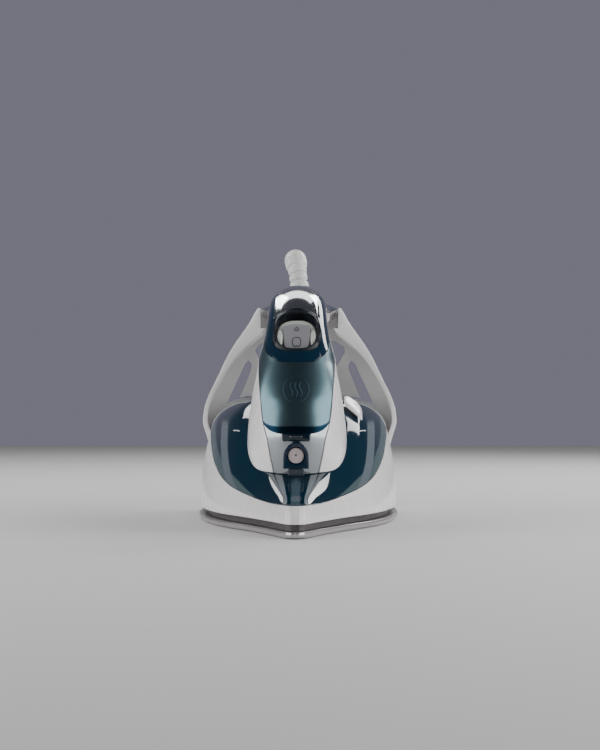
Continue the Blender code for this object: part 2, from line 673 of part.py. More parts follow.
def handle_lower_shell():
    """The white underside of the grip: a channel that closes the cover from below."""
    edge = handle_point(np.linspace(0.4, 1, 80), math.pi / 2, -0.4)
    turn = np.linspace(-math.pi / 2, math.pi / 2, 13)
    grids = []
    for wall in (0.0, WALL):
        rows = []
        for s in np.linspace(132.5, 284.0, 15):
            half, z = (np.interp(s, edge[:, 1], edge[:, k]) for k in (0, 2))
            depth = GRIP_DEPTH - 5.0 * max(0.0, (s - 200) / 84)
            square = 0.8 - 0.35 * min(1.0, max(0.0, (s - 225) / 40))
            drop = 0.45 + (depth - wall) * np.abs(np.cos(turn)) ** square
            rows.append(np.stack([(half - wall) * np.sin(turn), np.full(13, s), z - drop], axis=1))
        grids.append(np.stack(rows))
    return shell("handle_lower_shell", grids[0], grids[1], "white")


# Front details

NOZZLE_Z = 42.8
NOZZLE_FACE = 46.6


def nozzle_parts():
    """The arched hood with the spray nozzle in it, and the clear duct below."""
    arch = [(-7.1, 35.6)] + [(-7.1 * math.cos(a), NOZZLE_Z + 7.1 * math.sin(a))
                             for a in np.linspace(0, math.pi, 11)] + [(7.1, 35.6)]
    depths = ((45.2, 0.9), (46.2, 1.0), (53.0, 1.0))
    hood = stack("nozzle_housing", [[(x * k, s, NOZZLE_Z + (z - NOZZLE_Z) * k) for x, z in arch]
                                    for s, k in depths], "navy")
    cut(hood, rod("nozzle_seat", 5.0, -1.0, 5.2, (0, 45.0, NOZZLE_Z), "dark", 16, (0, 1, 0)))
    cut(hood, rod("nozzle_way", 2.1, 4.0, 12.0, (0, 45.0, NOZZLE_Z), "dark", 10, (0, 1, 0)))
    turned("spray_nozzle", [(0.45, 0), (4.45, 0), (4.45, 3.4), (0.45, 3.4)],
           (0, NOZZLE_FACE - 0.6, NOZZLE_Z), "white", 18, (0, 1, 0))
    duct = [[(-4.6, 47.4, 35.2), (4.6, 47.4, 35.2), (4.6, 53.5, 35.2), (-4.6, 53.5, 35.2)],
            [(-4.4, 50.2, 31.4), (4.4, 50.2, 31.4), (4.4, 54.6, 32.6), (-4.4, 54.6, 32.6)]]
    stack("nozzle_duct", duct, "duct")


def fill_door():
    """The sliding door of the water inlet, with its fingertip ridge."""
    door = block("fill_door", (0, 52.3, 55.2), (15.4, 1.2, 9.4), "navy")
    join(door, block("door_ridge", (0, 51.4, 53.2), (7.0, 1.6, 0.9), "white"))
    return door


def fill_funnel():
    """The duct behind the door that leads water down into the tank."""
    levels = ((58.2, 54.0, 6.0, 3.4), (64, 52.0, 5.6, 3.4), (72, 48.6, 5.2, 3.2))
    grids = []
    for grow in (0.0, 1.2):
        rows = []
        for s, z, half_x, half_z in levels:
            a, b = half_x + grow, half_z + grow
            rows.append([(a, s, z - b), (a, s, z + b), (-a, s, z + b), (-a, s, z - b)])
        grids.append(np.array(rows, float))
    return shell("fill_funnel", grids[1], grids[0], "duct", wrap=True)


# Inside the column: two pumps under the rocker

PUMPS = (("steam", 79.5, 4.6, 78.0, 99.5), ("spray", 92.6, 4.0, 86.0, 111.2))


def pumps():
    for name, s, radius, foot, top in PUMPS:
        ring_tube(f"{name}_pump_body", radius + 0.25, radius + 1.6, foot, foot + 15.5, (0, s, 0), "duct", 12)
        head = foot + 17.5
        turned(f"{name}_plunger", [(0, head - 6.5), (radius - 0.25, head - 6.5), (radius - 0.25, head - 2.5),
                                   (1.5, head - 2.5), (1.5, top), (0, top)],
               (0, s, 0), "grey", 12)
        turns, steps = 4, 40
        t = np.linspace(0, 1, steps)
        coil = np.stack([(radius - 1.0) * np.cos(turns * 2 * math.pi * t),
                         s + (radius - 1.0) * np.sin(turns * 2 * math.pi * t),
                         foot + 1.0 + (head - 6.5 - foot - 2.0) * t], axis=1)
        pipe(f"{name}_spring", coil, 0.4, "metal", 5)
    pipe("spray_tube", through([(0, 92.6, 85.0), (2.5, 92, 80), (8, 86, 71), (11, 76, 61), (11, 67, 51),
                                (9.5, 62.8, 44), (5, 61, 42.6), (0, 60.4, NOZZLE_Z), (-3, 60.4, NOZZLE_Z)],
                               18), 1.5, "duct", 6)
    pipe("steam_tube", through([(0, 79.5, 76.5), (0, 82, 66), (0, 88, 56), (0, 88, 49)], 10), 1.8, "duct", 6)


# Dial, button, lamp and valve on the tank

CLEAN_BUTTON = (33.0, 137.0)


def controls():
    top = float(crest_height(DIAL_S))
    turned("temperature_dial", [(0, top + 1.0), (22.5, top + 1.0), (23.5, top + 2.0), (22.5, top + 7.0),
                                (19.0, top + 8.2), (0, top + 8.2)], (0, DIAL_S, 0), "white", 24)
    rod("thermostat_shaft", 2.4, 21.5, top + 1.0 - GAP, (0, DIAL_S, 0), "metal", 10)
    x, s = CLEAN_BUTTON
    z = float(tank_height(x, s))
    rings = []
    for half_x, half_s, above in ((5.2, 7.0, 2.6), (5.4, 7.2, 3.4), (5.2, 7.0, 4.6), (4.2, 6.0, 5.4)):
        ring = np.array(rounded(half_x, half_s, 3.6, (x, s, 0)))
        ring[:, 2] = tank_height(ring[:, 0], ring[:, 1]) + above
        rings.append(ring)
    cap = stack("self_clean_button", rings, "white")
    join(cap, rod("clean_stem", 2.6, z - 8.0, z + 3.4, (x, s, 0), "white", 10))
    lamp = float(crest_height(214))
    rod("pilot_lens", 3.0, lamp + 0.8, lamp + 2.8, (0, 214, 0), "lens", 14)
    rod("drip_valve", 3.2, 14.2, float(seam_height(88)) + 9.0, (0, 88, 0), "metal", 10)


# The base's electrics

def electrics():
    block("thermostat_body", (0, DIAL_S, 17.4), (22, 30, 7.0), "metal", 2.0)
    block("thermal_fuse", (0, 132, 16.6), (5, 16, 4.4), "metal", 1.0)
    block("terminal_block", (0, 236, 22.0), (34, 14, 12), "white", 1.5)
    block("control_board", (0, 277.5, 32.0), (60, 1.6, 26), "board")
    block("board_relay", (12, 272.6, 32.0), (16, 7.4, 14), "dark", 0.8)
    pipe("mains_leads", through([(0, 262, 124), (0, 235, 124.5), (0, 190, 127.5), (0, 150, 127),
                                 (0, 127, 119), (0, 117.5, 104), (0, 116, 84), (0, 116, 55),
                                 (0, 116, 30)], 22), 2.3, "dark", 6)


# The heel frame

def heel_frame():
    """A bell-shaped cup, open to the front, whose rear wall is the face that the iron stands on."""
    count = 26
    z = 9 + (130.4 - 9) * (0.5 - 0.5 * np.cos(np.linspace(0, math.pi, count)))

    def loop(inset, s_of, flare=0.0):
        # flare widens the rim towards the top
        middle = 68.0
        inset = inset + flare * np.clip((z - 84.0) / 36.0, 0, 1) ** 1.5
        height = middle + (z - middle) * (1 - inset / 61.0)
        half = heel_width(z) - inset
        right = np.stack([half, s_of(z), height], axis=1)
        return np.vstack([right, right[::-1] * (-1, 1, 1)])

    rear = LENGTH
    rings = [loop(HEEL_WALL, lambda h: np.full(len(h), rear - HEEL_WALL), 5.0),
             loop(HEEL_WALL, lambda h: heel_front(h), 5.0),
             loop(0.0, lambda h: heel_front(h)),
             loop(0.0, lambda h: np.full(len(h), rear - 3.5)),
             loop(3.0, lambda h: np.full(len(h), rear))]
    frame = stack("heel_frame", rings, "white")
    for side in (-1, 1):
        slot = [(34.0, 97.4), (36.6, 94.5), (40.2, 87.0), (44.8, 77.0), (48.8, 68.0), (50.6, 60.0),
                (47.6, 57.4), (44.6, 60.4), (40.2, 71.6), (36.7, 79.6), (33.2, 88.4), (32.0, 94.0)]
        ring = [[(side * x, s, h) for x, h in slot] for s in (rear - 8, rear + 4)]
        cut(frame, stack(f"slot_cutter_{side}", ring, "dark"))
    window = [(-29.8, 104.2), (-27.4, 98.2), (-21, 88.5), (-12, 78.5), (-5, 73.4), (5, 73.4), (12, 78.5),
              (21, 88.5), (27.4, 98.2), (29.8, 104.2), (26.6, 108.0), (18, 110.4), (-18, 110.4),
              (-26.6, 108.0)]
    cut(frame, stack("window_cutter", [[(x, s, h) for x, h in window] for s in (rear - 8, rear + 4)],
                     "dark"))
    # The handle enters over the top of the cup, and the flex's ball sits in its upper wall.
    cut(frame, stack("handle_cutter", [[(25.0, s, h) for s, h in HANDLE_ENTRY],
                                       [(-25.0, s, h) for s, h in HANDLE_ENTRY]], "dark"))
    return frame


HANDLE_ENTRY = [(230, 117.5), (286.4, 117.5), (286.4, 140), (230, 140)]


def heel_screws():
    for side, name in ((-1, "heel_screw_right"), (1, "heel_screw_left")):
        rod(name, 3.6, 0, 1.3, (side * 30, LENGTH - HEEL_WALL - 1.3 - GAP, 24), "metal", 12, (0, 1, 0))


# The flex: ball joint, guard, lead, coil and plug

def ball_joint():
    x, s, z = BALL_CENTRE
    ring_tube("ball_socket", 6.6, 8.0, -7.0, 1.5, BALL_CENTRE, "dark", 14)
    arc = [(6.2 * math.cos(a), 6.2 * math.sin(a)) for a in np.radians(np.linspace(-90, 52, 9))]
    arc[0] = (0.0, -6.2)
    turned("cord_ball", arc + [(3.8, 10.4), (0, 10.4)], BALL_CENTRE, "dark", 14)


def guard_line():
    """The centre line of the cord guard: up from the ball, then bent over to the rear."""
    x, s, z = BALL_CENTRE
    return through([(-0.2, s, z + 10.8), (-0.7, s + 0.3, z + 16), (-1.6, s + 2.2, z + 22.5),
                    (-2.6, s + 7.8, z + 28.0), (-3.2, s + 16.2, z + 31.0), (-3.4, s + 24.5, z + 31.6)], 21)


guard_radius = station([(0, 6.7), (4, 6.0), (7, 6.1), (11, 6.9), (14, 6.6), (20, 4.7)])


def cord_guard():
    """The ribbed sleeve round the flex. Its ribs are rings that stand proud of the sleeve."""
    path = guard_line()
    tangent = np.gradient(path, axis=0)
    tangent /= np.linalg.norm(tangent, axis=1)[:, None]
    rings, angle = [], np.arange(10) * 2 * math.pi / 10
    for k, (point, along) in enumerate(zip(path, tangent)):
        up = np.cross((1, 0, 0), along)
        radius = float(guard_radius(k)) + (0.3 if k % 2 else -0.3)
        rings.append([point + radius * (np.array((1, 0, 0)) * math.cos(a) + up * math.sin(a))
                      for a in angle])
    return stack("cord_guard", rings, "cord")


COIL_CENTRE = (0.0, 366.0)
COIL_MEAN = 38.5  # radius at the middle of its turns
COIL_HEIGHT = 13.1  # four turns on the floor and three in the grooves above them
LEAD_ROUTE = [(-3.4, 301.9, 165.1), (-3.4, 309, 165.0), (-3.2, 318, 163.0), (-2.4, 328, 156.5),
              (-1.2, 335.5, 146.0), (0.0, 338.6, 132.0), (0.8, 338.8, 116.0), (1.2, 337.4, 98.0),
              (1.4, 335.6, 80.0), (1.0, 334.2, 64.0), (-0.6, 333.4, 49.0), (-4.6, 333.2, 35.8),
              (-12.0, 333.8, 25.2), (-20.4, 335.6, 18.8), (-27.0, 338.5, 17.1)]
TAIL_ROUTE = [(-56.5, 366, 3.7), (-56.5, 380, 3.7), (-56.3, 394, 3.9), (-54, 408, 4.6),
              (-48.6, 420.4, 6.6), (-40.4, 430.4, 10.2), (-32, 436.6, 14.8), (-25.6, 439.0, 18.4),
              (-19.6, 439.2, 18.8)]


def flex():
    """The lead from the guard to the coil, the coil's outer shape, its tie and the plug on it."""
    for name, route, count in (("cord_lead", LEAD_ROUTE, 22), ("cord_tail", TAIL_ROUTE, 12)):
        curve = bpy.data.curves.new(name, "CURVE")
        curve.dimensions = "3D"
        line = place(through(route, count))
        spline = curve.splines.new("POLY")
        spline.points.add(len(line) - 1)
        for point, p in zip(spline.points, line):
            point.co = (*p, 1.0)
        curve.bevel_depth = CORD_DIAMETER / 2000
        curve.bevel_resolution = 2
        curve.use_fill_caps = True
        curve.materials.append(FINISH["cord"])
        bpy.context.scene.collection.objects.link(bpy.data.objects.new(name, curve))
    half = 2 * CORD_DIAMETER
    profile = [(COIL_MEAN + r, z) for r, z in ((-half, 0.1), (half, 0.1), (half, 6.5),
                                               (half - 3.5, COIL_HEIGHT), (3.5 - half, COIL_HEIGHT),
                                               (-half, 6.5))]
    turned("cord_coil", profile, (*COIL_CENTRE, 0), "cord", 28)


def plug():
    """A two-pin earthed plug that lies behind the coil, its pins level."""
    x, s, z = PLUG_CENTRE
    profile = [(0, 0), (17.0, 0), (18.6, 2.0), (18.6, 12.0), (17.0, 20.0), (11.0, 30.0), (7.4, 36.0),
               (5.2, 45.0), (0, 45.0)]
    turned("plug_body", profile, PLUG_CENTRE, "cord", 18, (-1, 0, 0))
    for name, offset in (("plug_pin_rear", 9.5), ("plug_pin_front", -9.5)):
        rod(name, 2.4, GAP, 19.0, (x, s + offset, z), "metal", 10, (1, 0, 0))


PLUG_CENTRE = (26.0, 439.2, 18.8)


def main():
    for old in list(bpy.data.objects):
        bpy.data.objects.remove(old)
    soleplate()
    base_casting()
    heating_element()
    chamber_cover()
    heat_shield()
    skirt()
    tank_shell()
    tank_base()
    tunnels()
    column_core()
    column_shells()
    front_panel()
    handle_top_cover()
    rocker_well()
    rocker()
    chrome_trim()
    handle_lower_shell()
    nozzle_parts()
    fill_door()
    fill_funnel()
    pumps()
    controls()
    electrics()
    heel_frame()
    heel_screws()
    ball_joint()
    cord_guard()
    flex()
    plug()


FINISH = finishes()
main()
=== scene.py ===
import math

import bmesh
import bpy
import numpy as np
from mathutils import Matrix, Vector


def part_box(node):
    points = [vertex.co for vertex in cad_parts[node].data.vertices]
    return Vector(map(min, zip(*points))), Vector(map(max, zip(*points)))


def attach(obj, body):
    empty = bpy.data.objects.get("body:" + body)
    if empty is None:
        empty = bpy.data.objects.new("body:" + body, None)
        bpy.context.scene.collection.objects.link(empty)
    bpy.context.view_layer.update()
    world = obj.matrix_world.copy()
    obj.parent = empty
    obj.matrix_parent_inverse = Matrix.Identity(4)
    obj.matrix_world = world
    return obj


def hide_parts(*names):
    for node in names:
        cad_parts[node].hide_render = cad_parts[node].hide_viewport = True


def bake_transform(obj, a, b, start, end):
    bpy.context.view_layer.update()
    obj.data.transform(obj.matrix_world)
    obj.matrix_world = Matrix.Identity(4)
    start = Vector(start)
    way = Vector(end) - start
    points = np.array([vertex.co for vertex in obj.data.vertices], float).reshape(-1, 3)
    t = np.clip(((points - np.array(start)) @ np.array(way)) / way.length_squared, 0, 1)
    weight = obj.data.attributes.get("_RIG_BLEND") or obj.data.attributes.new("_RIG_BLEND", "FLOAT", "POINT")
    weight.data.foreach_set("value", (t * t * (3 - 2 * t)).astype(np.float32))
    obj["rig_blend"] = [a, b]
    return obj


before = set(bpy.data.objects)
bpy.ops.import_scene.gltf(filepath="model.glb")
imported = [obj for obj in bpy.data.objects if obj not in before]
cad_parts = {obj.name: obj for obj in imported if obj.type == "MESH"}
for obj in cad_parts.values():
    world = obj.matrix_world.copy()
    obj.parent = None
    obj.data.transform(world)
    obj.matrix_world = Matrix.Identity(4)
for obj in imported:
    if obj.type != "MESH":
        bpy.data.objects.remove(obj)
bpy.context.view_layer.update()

# Places on the iron are (x, s, z) in mm: s is the distance back from the soleplate's tip.
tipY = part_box("soleplate")[0][1]


def place(points):
    return np.asarray(points, float) / 1000 + (0.0, tipY, 0.0)


# Curves and grids

def station(pairs):
    # a smooth function through (position, value) pairs: cubic pieces that never overshoot
    at, value = (np.array(c, float) for c in zip(*pairs))
    step = np.diff(at)
    slope = np.diff(value) / step
    tangent = np.zeros(len(at))
    same = slope[:-1] * slope[1:] > 0
    before, after = 2 * step[1:] + step[:-1], step[1:] + 2 * step[:-1]
    left, right = np.where(same, slope[:-1], 1.0), np.where(same, slope[1:], 1.0)
    tangent[1:-1] = np.where(same, (before + after) / (before / left + after / right), 0.0)
    tangent[0], tangent[-1] = slope[0], slope[-1]

    def atPlace(p):
        p = np.clip(np.asarray(p, float), at[0], at[-1])
        i = np.clip(np.searchsorted(at, p, side="right") - 1, 0, len(step) - 1)
        t = (p - at[i]) / step[i]
        return ((2 * t**3 - 3 * t**2 + 1) * value[i] + (t**3 - 2 * t**2 + t) * step[i] * tangent[i]
                + (3 * t**2 - 2 * t**3) * value[i + 1] + (t**3 - t**2) * step[i] * tangent[i + 1])

    return atPlace


def down(count, low=0.0):
    # a column of even steps up to 1
    return np.linspace(low, 1, count)[:, None]


def across(count):
    # a row of even steps from -1 to 1
    return np.linspace(-1, 1, count)[None, :]


def through(points, share):
    # points at the given shares (0 to 1) of a Catmull-Rom curve
    p = np.array(points, float)
    last = len(p) - 1
    p = np.vstack([2 * p[0] - p[1], p, 2 * p[-1] - p[-2]])
    t = np.clip(np.asarray(share, float), 0, 1) * last
    i = np.minimum(t.astype(int), last - 1)
    u = (t - i)[..., None]
    a, b, c, d = p[i], p[i + 1], p[i + 2], p[i + 3]
    return 0.5 * (2 * b + (c - a) * u + (2 * a - 5 * b + 4 * c - d) * u**2 + (3 * b - a - 3 * c + d) * u**3)


def around(count):
    # angles spaced evenly over a whole turn
    return np.linspace(0, 2 * np.pi, count + 1)[:-1]


def evenly(path, count):
    # count points the same distance apart along a polyline
    step = np.r_[0, np.cumsum(np.linalg.norm(np.diff(path, axis=0), axis=1))]
    at = np.linspace(0, step[-1], count)
    return np.stack([np.interp(at, step, path[:, k]) for k in range(path.shape[1])], axis=1)


def gridFaces(rows, columns, wrap=False, start=0):
    i = np.arange(rows - 1)[:, None]
    j = np.arange(columns if wrap else columns - 1)[None, :]
    k = (j + 1) % columns
    return (start + np.stack([i * columns + j, (i + 1) * columns + j, (i + 1) * columns + k,
                              i * columns + k], axis=-1)).reshape(-1, 4)


def closingFaces(rows, columns):
    # joins a wrapped grid's last row to its first
    j, base = np.arange(columns), (rows - 1) * columns
    return np.stack([base + j, j, (j + 1) % columns, base + (j + 1) % columns], axis=1)


def show(made):
    bpy.context.scene.collection.objects.link(made)
    return made


def makePiece(name, points, faces, extra=(), outwardFrom=None):
    # an object from points in mm; an open skin is turned to face away from outwardFrom
    mesh = bpy.data.meshes.new(name)
    faces = np.asarray(faces).tolist() + [list(f) for f in extra]
    mesh.from_pydata(place(points).reshape(-1, 3).tolist(), [], faces)
    work = bmesh.new()
    work.from_mesh(mesh)
    bmesh.ops.remove_doubles(work, verts=work.verts, dist=1e-6)
    bmesh.ops.dissolve_degenerate(work, edges=work.edges, dist=1e-7)
    bmesh.ops.recalc_face_normals(work, faces=work.faces)
    if outwardFrom is None:
        flip = work.calc_volume(signed=True) < 0
    else:
        centre = place(outwardFrom)
        flip = sum((f.calc_center_median() - f.normal.__class__(centre)).dot(f.normal) * f.calc_area()
                   for f in work.faces) < 0
    if flip:
        bmesh.ops.reverse_faces(work, faces=work.faces)
    work.to_mesh(mesh)
    work.free()
    mesh.shade_smooth()
    return show(bpy.data.objects.new(name, mesh))


def thicken(made, wall):
    thick = made.modifiers.new("wall", "SOLIDIFY")
    thick.thickness, thick.offset = wall / 1000, -1


def roundRims(made, width, angle, segments=3):
    rim = made.modifiers.new("rim", "BEVEL")
    rim.width, rim.segments, rim.limit_method = width / 1000, segments, "ANGLE"
    rim.angle_limit = math.radians(angle)


def skin(name, grid, wall=0.0, edge=0.35, outwardFrom=(0, 120, 60), wrap=False, sharp=40):
    # a grid of points as a wall of the given thickness in mm, with rounded rims
    rows, columns = grid.shape[:2]
    made = makePiece(name, grid, gridFaces(rows, columns, wrap), outwardFrom=outwardFrom)
    if wall:
        thicken(made, wall)
    if edge:
        roundRims(made, edge, sharp)
    return settle(made)


def closedStack(name, rings, edge=0.0, sharp=40):
    # closed rings of points joined into one solid, with flat ends
    rings = np.asarray(rings, float)
    rows, columns = rings.shape[:2]
    ends = [tuple(range(columns)), tuple(range((rows - 1) * columns, rows * columns))]
    made = makePiece(name, rings, gridFaces(rows, columns, True), ends)
    if edge:
        roundRims(made, edge, sharp)
    return settle(made, sharp)


def turned(name, profile, centre, axis=(0, 0, 1), sides=64, sharp=35):
    # a profile of (radius, height) turned about an axis through centre; radius 0 closes a pole
    along = np.array(axis, float) / np.linalg.norm(axis)
    across = np.cross(along, (1, 0, 0) if abs(along[0]) < 0.9 else (0, 1, 0))
    across /= np.linalg.norm(across)
    other = np.cross(along, across)
    a = np.arange(sides) * 2 * np.pi / sides
    r, h = np.array(profile, float).T
    points = (np.array(centre) + h[:, None, None] * along
              + r[:, None, None] * (np.cos(a)[:, None] * across + np.sin(a)[:, None] * other))
    faces = gridFaces(len(r), sides, True)
    if r[0] > 0:
        faces = np.vstack([faces, closingFaces(len(r), sides)])
    return settle(makePiece(name, points, faces), sharp)


def tube(name, path, radius, sides=24, closed=False):
    # a round bar round each point of a path; radius may vary along it
    path = np.asarray(path, float)
    radius = np.broadcast_to(radius, len(path))
    tangent = np.gradient(path, axis=0)
    if closed:
        tangent = np.roll(path, -1, axis=0) - np.roll(path, 1, axis=0)
    tangent /= np.linalg.norm(tangent, axis=1)[:, None]
    side = np.zeros_like(path)
    first = np.cross(tangent[0], (0, 0, 1) if abs(tangent[0][2]) < 0.9 else (1, 0, 0))
    side[0] = first / np.linalg.norm(first)
    for k in range(1, len(path)):  # the frame is carried from point to point without twist
        moved = side[k - 1] - tangent[k] * np.dot(side[k - 1], tangent[k])
        side[k] = moved / np.linalg.norm(moved)
    up = np.cross(tangent, side)
    a = np.arange(sides) * 2 * np.pi / sides
    rings = path[:, None] + radius[:, None, None] * (side[:, None] * np.cos(a)[:, None]
                                                     + up[:, None] * np.sin(a)[:, None])
    faces = gridFaces(len(path), sides, True)
    if closed:
        faces = np.vstack([faces, closingFaces(len(path), sides)])
        ends = []
    else:
        ends = [tuple(range(sides)), tuple(range((len(path) - 1) * sides, len(path) * sides))]
    return settle(makePiece(name, rings, faces, ends), 60)


def settle(made, sharp=40):
    # modifiers become plain mesh, and creases sharper than the given angle stay crisp
    bpy.context.view_layer.update()
    seen = made.evaluated_get(bpy.context.evaluated_depsgraph_get())
    mesh = bpy.data.meshes.new_from_object(seen)
    old = made.data
    made.modifiers.clear()
    made.data = mesh
    mesh.name = made.name
    bpy.data.meshes.remove(old)
    mesh.shade_smooth()
    mesh.set_sharp_from_angle(angle=math.radians(sharp))
    return made


def carve(made, *cutters, edge=0.0, sharp=35):
    # the cutters' shapes are taken out, then the new rims are rounded
    for cutter in cutters:
        away = made.modifiers.new("cut", "BOOLEAN")
        away.operation, away.object, away.solver = "DIFFERENCE", cutter, "EXACT"
    if edge:
        roundRims(made, edge, 55, 2)
    settle(made, sharp)
    for cutter in cutters:
        mesh = cutter.data
        bpy.data.objects.remove(cutter)
        bpy.data.meshes.remove(mesh)
    return made


def bore(radius, low, high, centre, axis=(0, 0, 1), sides=64):
    # a round cutter along an axis
    return turned("cutter", [(0, low), (radius, low), (radius, high), (0, high)], centre, axis, sides)


def outline(points, near, far):
    # a cutter: a closed line of (x, z) points, from one distance back to another
    return closedStack("cutter", [[(x, s, z) for x, z in points] for s in (near, far)])


def dress(made, body, finish, slotName, *nodes):
    made.data.materials.clear()
    made.data.materials.append(finish)
    if "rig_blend" not in made:
        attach(made, body)
    if nodes:
        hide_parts(*nodes)
    return made


# Camera, lights and stage

viewSettings = {"distance": 1.2, "height": 0.0875, "aside": 0.01365, "turn": 0.525, "lens": 107.95}
camera = show(bpy.data.objects.new("camera", bpy.data.cameras.new("camera")))
camera.data.lens = viewSettings["lens"]
camera.data.sensor_width = 36
camera.location = (viewSettings["aside"], tipY - viewSettings["distance"], viewSettings["height"])
camera.rotation_euler = (math.radians(90), 0, math.radians(viewSettings["turn"]))
bpy.context.scene.camera = camera

lightSettings = {
    "left": {"at": (-1.05, -0.22, 0.46), "to": (0, -0.02, 0.06), "size": (1.5, 1.05), "power": 15.4},
    "right": {"at": (1.05, -0.22, 0.48), "to": (0, -0.02, 0.06), "size": (1.5, 1.1), "power": 18.0},
    "behind": {"at": (0.0, 1.00, 0.98), "to": (0, -0.03, 0.12), "size": (0.9, 0.36), "power": 1.9},
    "noseRight": {"at": (0.46, 0.80, 0.60), "to": (0, -0.10, 0.03), "size": (0.46, 0.34), "power": 3.9},
    "noseLeft": {"at": (-0.34, 0.72, 0.68), "to": (0, -0.10, 0.03), "size": (0.26, 0.32), "power": 1.6},
}
for name, spec in lightSettings.items():
    lamp = bpy.data.lights.new(name, "AREA")
    lamp.shape, lamp.size, lamp.size_y, lamp.energy = "RECTANGLE", *spec["size"], spec["power"]
    holder = show(bpy.data.objects.new(name, lamp))
    holder.location = spec["at"]
    away = np.array(spec["at"]) - spec["to"]
    holder.rotation_euler = (math.atan2(math.hypot(away[0], away[1]), away[2]), 0,
                             math.atan2(away[0], -away[1]))

print("camera and lights are set")


# Shader groups and finishes

def newGroup(name, settings):
    # a group with a colour and the named settings, which gives a colour, a roughness and a height
    group = bpy.data.node_groups.new(name, "ShaderNodeTree")
    for label, value in {"Colour": (0.5, 0.5, 0.5, 1), **settings}.items():
        kind = "NodeSocketColor" if label == "Colour" else "NodeSocketFloat"
        group.interface.new_socket(label, in_out="INPUT", socket_type=kind).default_value = value
    for label, kind in (("Colour", "Color"), ("Roughness", "Float"), ("Height", "Float")):
        group.interface.new_socket(label, in_out="OUTPUT", socket_type="NodeSocket" + kind)
    return group, group.nodes.new("NodeGroupInput").outputs, group.nodes.new("NodeGroupOutput").inputs


def node(tree, kind, **settings):
    made = tree.nodes.new(kind)
    for key, value in settings.items():
        setattr(made, key, value)
    return made


def calculate(tree, operation, a, b):
    made = node(tree, "ShaderNodeMath", operation=operation)
    for k, value in enumerate((a, b)):
        if isinstance(value, (int, float)):
            made.inputs[k].default_value = value
        else:
            tree.links.new(value, made.inputs[k])
    return made.outputs[0]


def noiseAt(tree, vector, scale, detail=3.0):
    made = node(tree, "ShaderNodeTexNoise")
    made.inputs["Detail"].default_value = detail
    tree.links.new(vector, made.inputs["Vector"])
    if isinstance(scale, (int, float)):
        made.inputs["Scale"].default_value = scale
    else:
        tree.links.new(scale, made.inputs["Scale"])
    return made.outputs["Fac"]


def mixColours(tree, factor, a, b):
    made = node(tree, "ShaderNodeMix", data_type="RGBA")
    tree.links.new(factor, made.inputs["Factor"])
    for key, value in (("A", a), ("B", b)):
        spot = [i for i in made.inputs if i.name == key and i.type == "RGBA"][0]
        if isinstance(value, tuple):
            spot.default_value = (*value, 1)
        else:
            tree.links.new(value, spot)
    return [o for o in made.outputs if o.type == "RGBA"][0]


def between(tree, value, low, high):
    # 0 up to low, 1 from high on
    made = node(tree, "ShaderNodeMapRange", clamp=True)
    for label, limit in (("From Min", low), ("From Max", high), ("To Min", 0.0), ("To Max", 1.0)):
        made.inputs[label].default_value = limit
    tree.links.new(value, made.inputs["Value"])
    return made.outputs[0]


# the studio: a grey-violet wall behind, and a darker room above and behind the camera
studio = {"wallFrom": 0.80, "wallTo": 0.97, "room": (0.050, 0.053, 0.062), "wall": (0.172, 0.170, 0.212)}
world = bpy.data.worlds.new("studio")
world.use_nodes = True
room = world.node_tree
split = node(room, "ShaderNodeSeparateXYZ")
room.links.new(node(room, "ShaderNodeTexCoord").outputs["Generated"], split.inputs[0])
share = between(room, split.outputs["Y"], studio["wallFrom"], studio["wallTo"])
background = room.nodes["Background"]
room.links.new(mixColours(room, share, studio["room"], studio["wall"]), background.inputs["Color"])
background.inputs["Strength"].default_value = 1.0
bpy.context.scene.world = world


def times(tree, a, b):
    return calculate(tree, "MULTIPLY", a, b)


def sway(tree, value, middle, amount):
    # how far a value is from a middle, times an amount
    return times(tree, calculate(tree, "SUBTRACT", value, middle), amount)


def brighten(tree, colour, change):
    made = node(tree, "ShaderNodeBrightContrast")
    tree.links.new(colour, made.inputs["Color"])
    tree.links.new(change, made.inputs["Bright"])
    return made.outputs[0]


def deliver(tree, end, colour, roughness, height):
    for label, value in (("Colour", colour), ("Roughness", roughness), ("Height", height)):
        tree.links.new(value, end[label])
    return tree


def buildMoulded():
    # moulded plastic: slow colour drift, handling marks in the gloss, a fine skin, and dust on top
    tree, start, end = newGroup("mouldedSurface", {
        "Drift": 0.06, "Gloss": 0.2, "Marks": 0.1, "Grain": 900.0, "Dust": 0.05, "Wear": 0.1})
    spot = node(tree, "ShaderNodeTexCoord").outputs["Object"]
    geometry = node(tree, "ShaderNodeNewGeometry")
    slow = noiseAt(tree, spot, 24.0, 4)
    smear = noiseAt(tree, spot, 95.0, 5)
    fine = noiseAt(tree, spot, start["Grain"], 2)
    drifted = brighten(tree, start["Colour"], sway(tree, slow, 0.5, start["Drift"]))
    edge = between(tree, geometry.outputs["Pointiness"], 0.515, 0.60)
    worn = times(tree, times(tree, edge, smear), start["Wear"])
    colour = mixColours(tree, worn, drifted, (0.62, 0.63, 0.65))
    split = node(tree, "ShaderNodeSeparateXYZ")
    tree.links.new(geometry.outputs["Normal"], split.inputs[0])
    upward = calculate(tree, "POWER", calculate(tree, "MAXIMUM", split.outputs["Z"], 0.0), 4.0)
    speck = calculate(tree, "GREATER_THAN", noiseAt(tree, spot, 1500.0, 1), 0.64)
    settled = times(tree, times(tree, upward, speck), start["Dust"])
    rough = calculate(tree, "ADD", start["Gloss"], sway(tree, smear, 0.4, start["Marks"]))
    rough = calculate(tree, "MAXIMUM", calculate(tree, "ADD", rough, settled), 0.02)
    return deliver(tree, end, mixColours(tree, settled, colour, (0.5, 0.49, 0.48)), rough,
                   calculate(tree, "ADD", times(tree, fine, 0.6), smear))


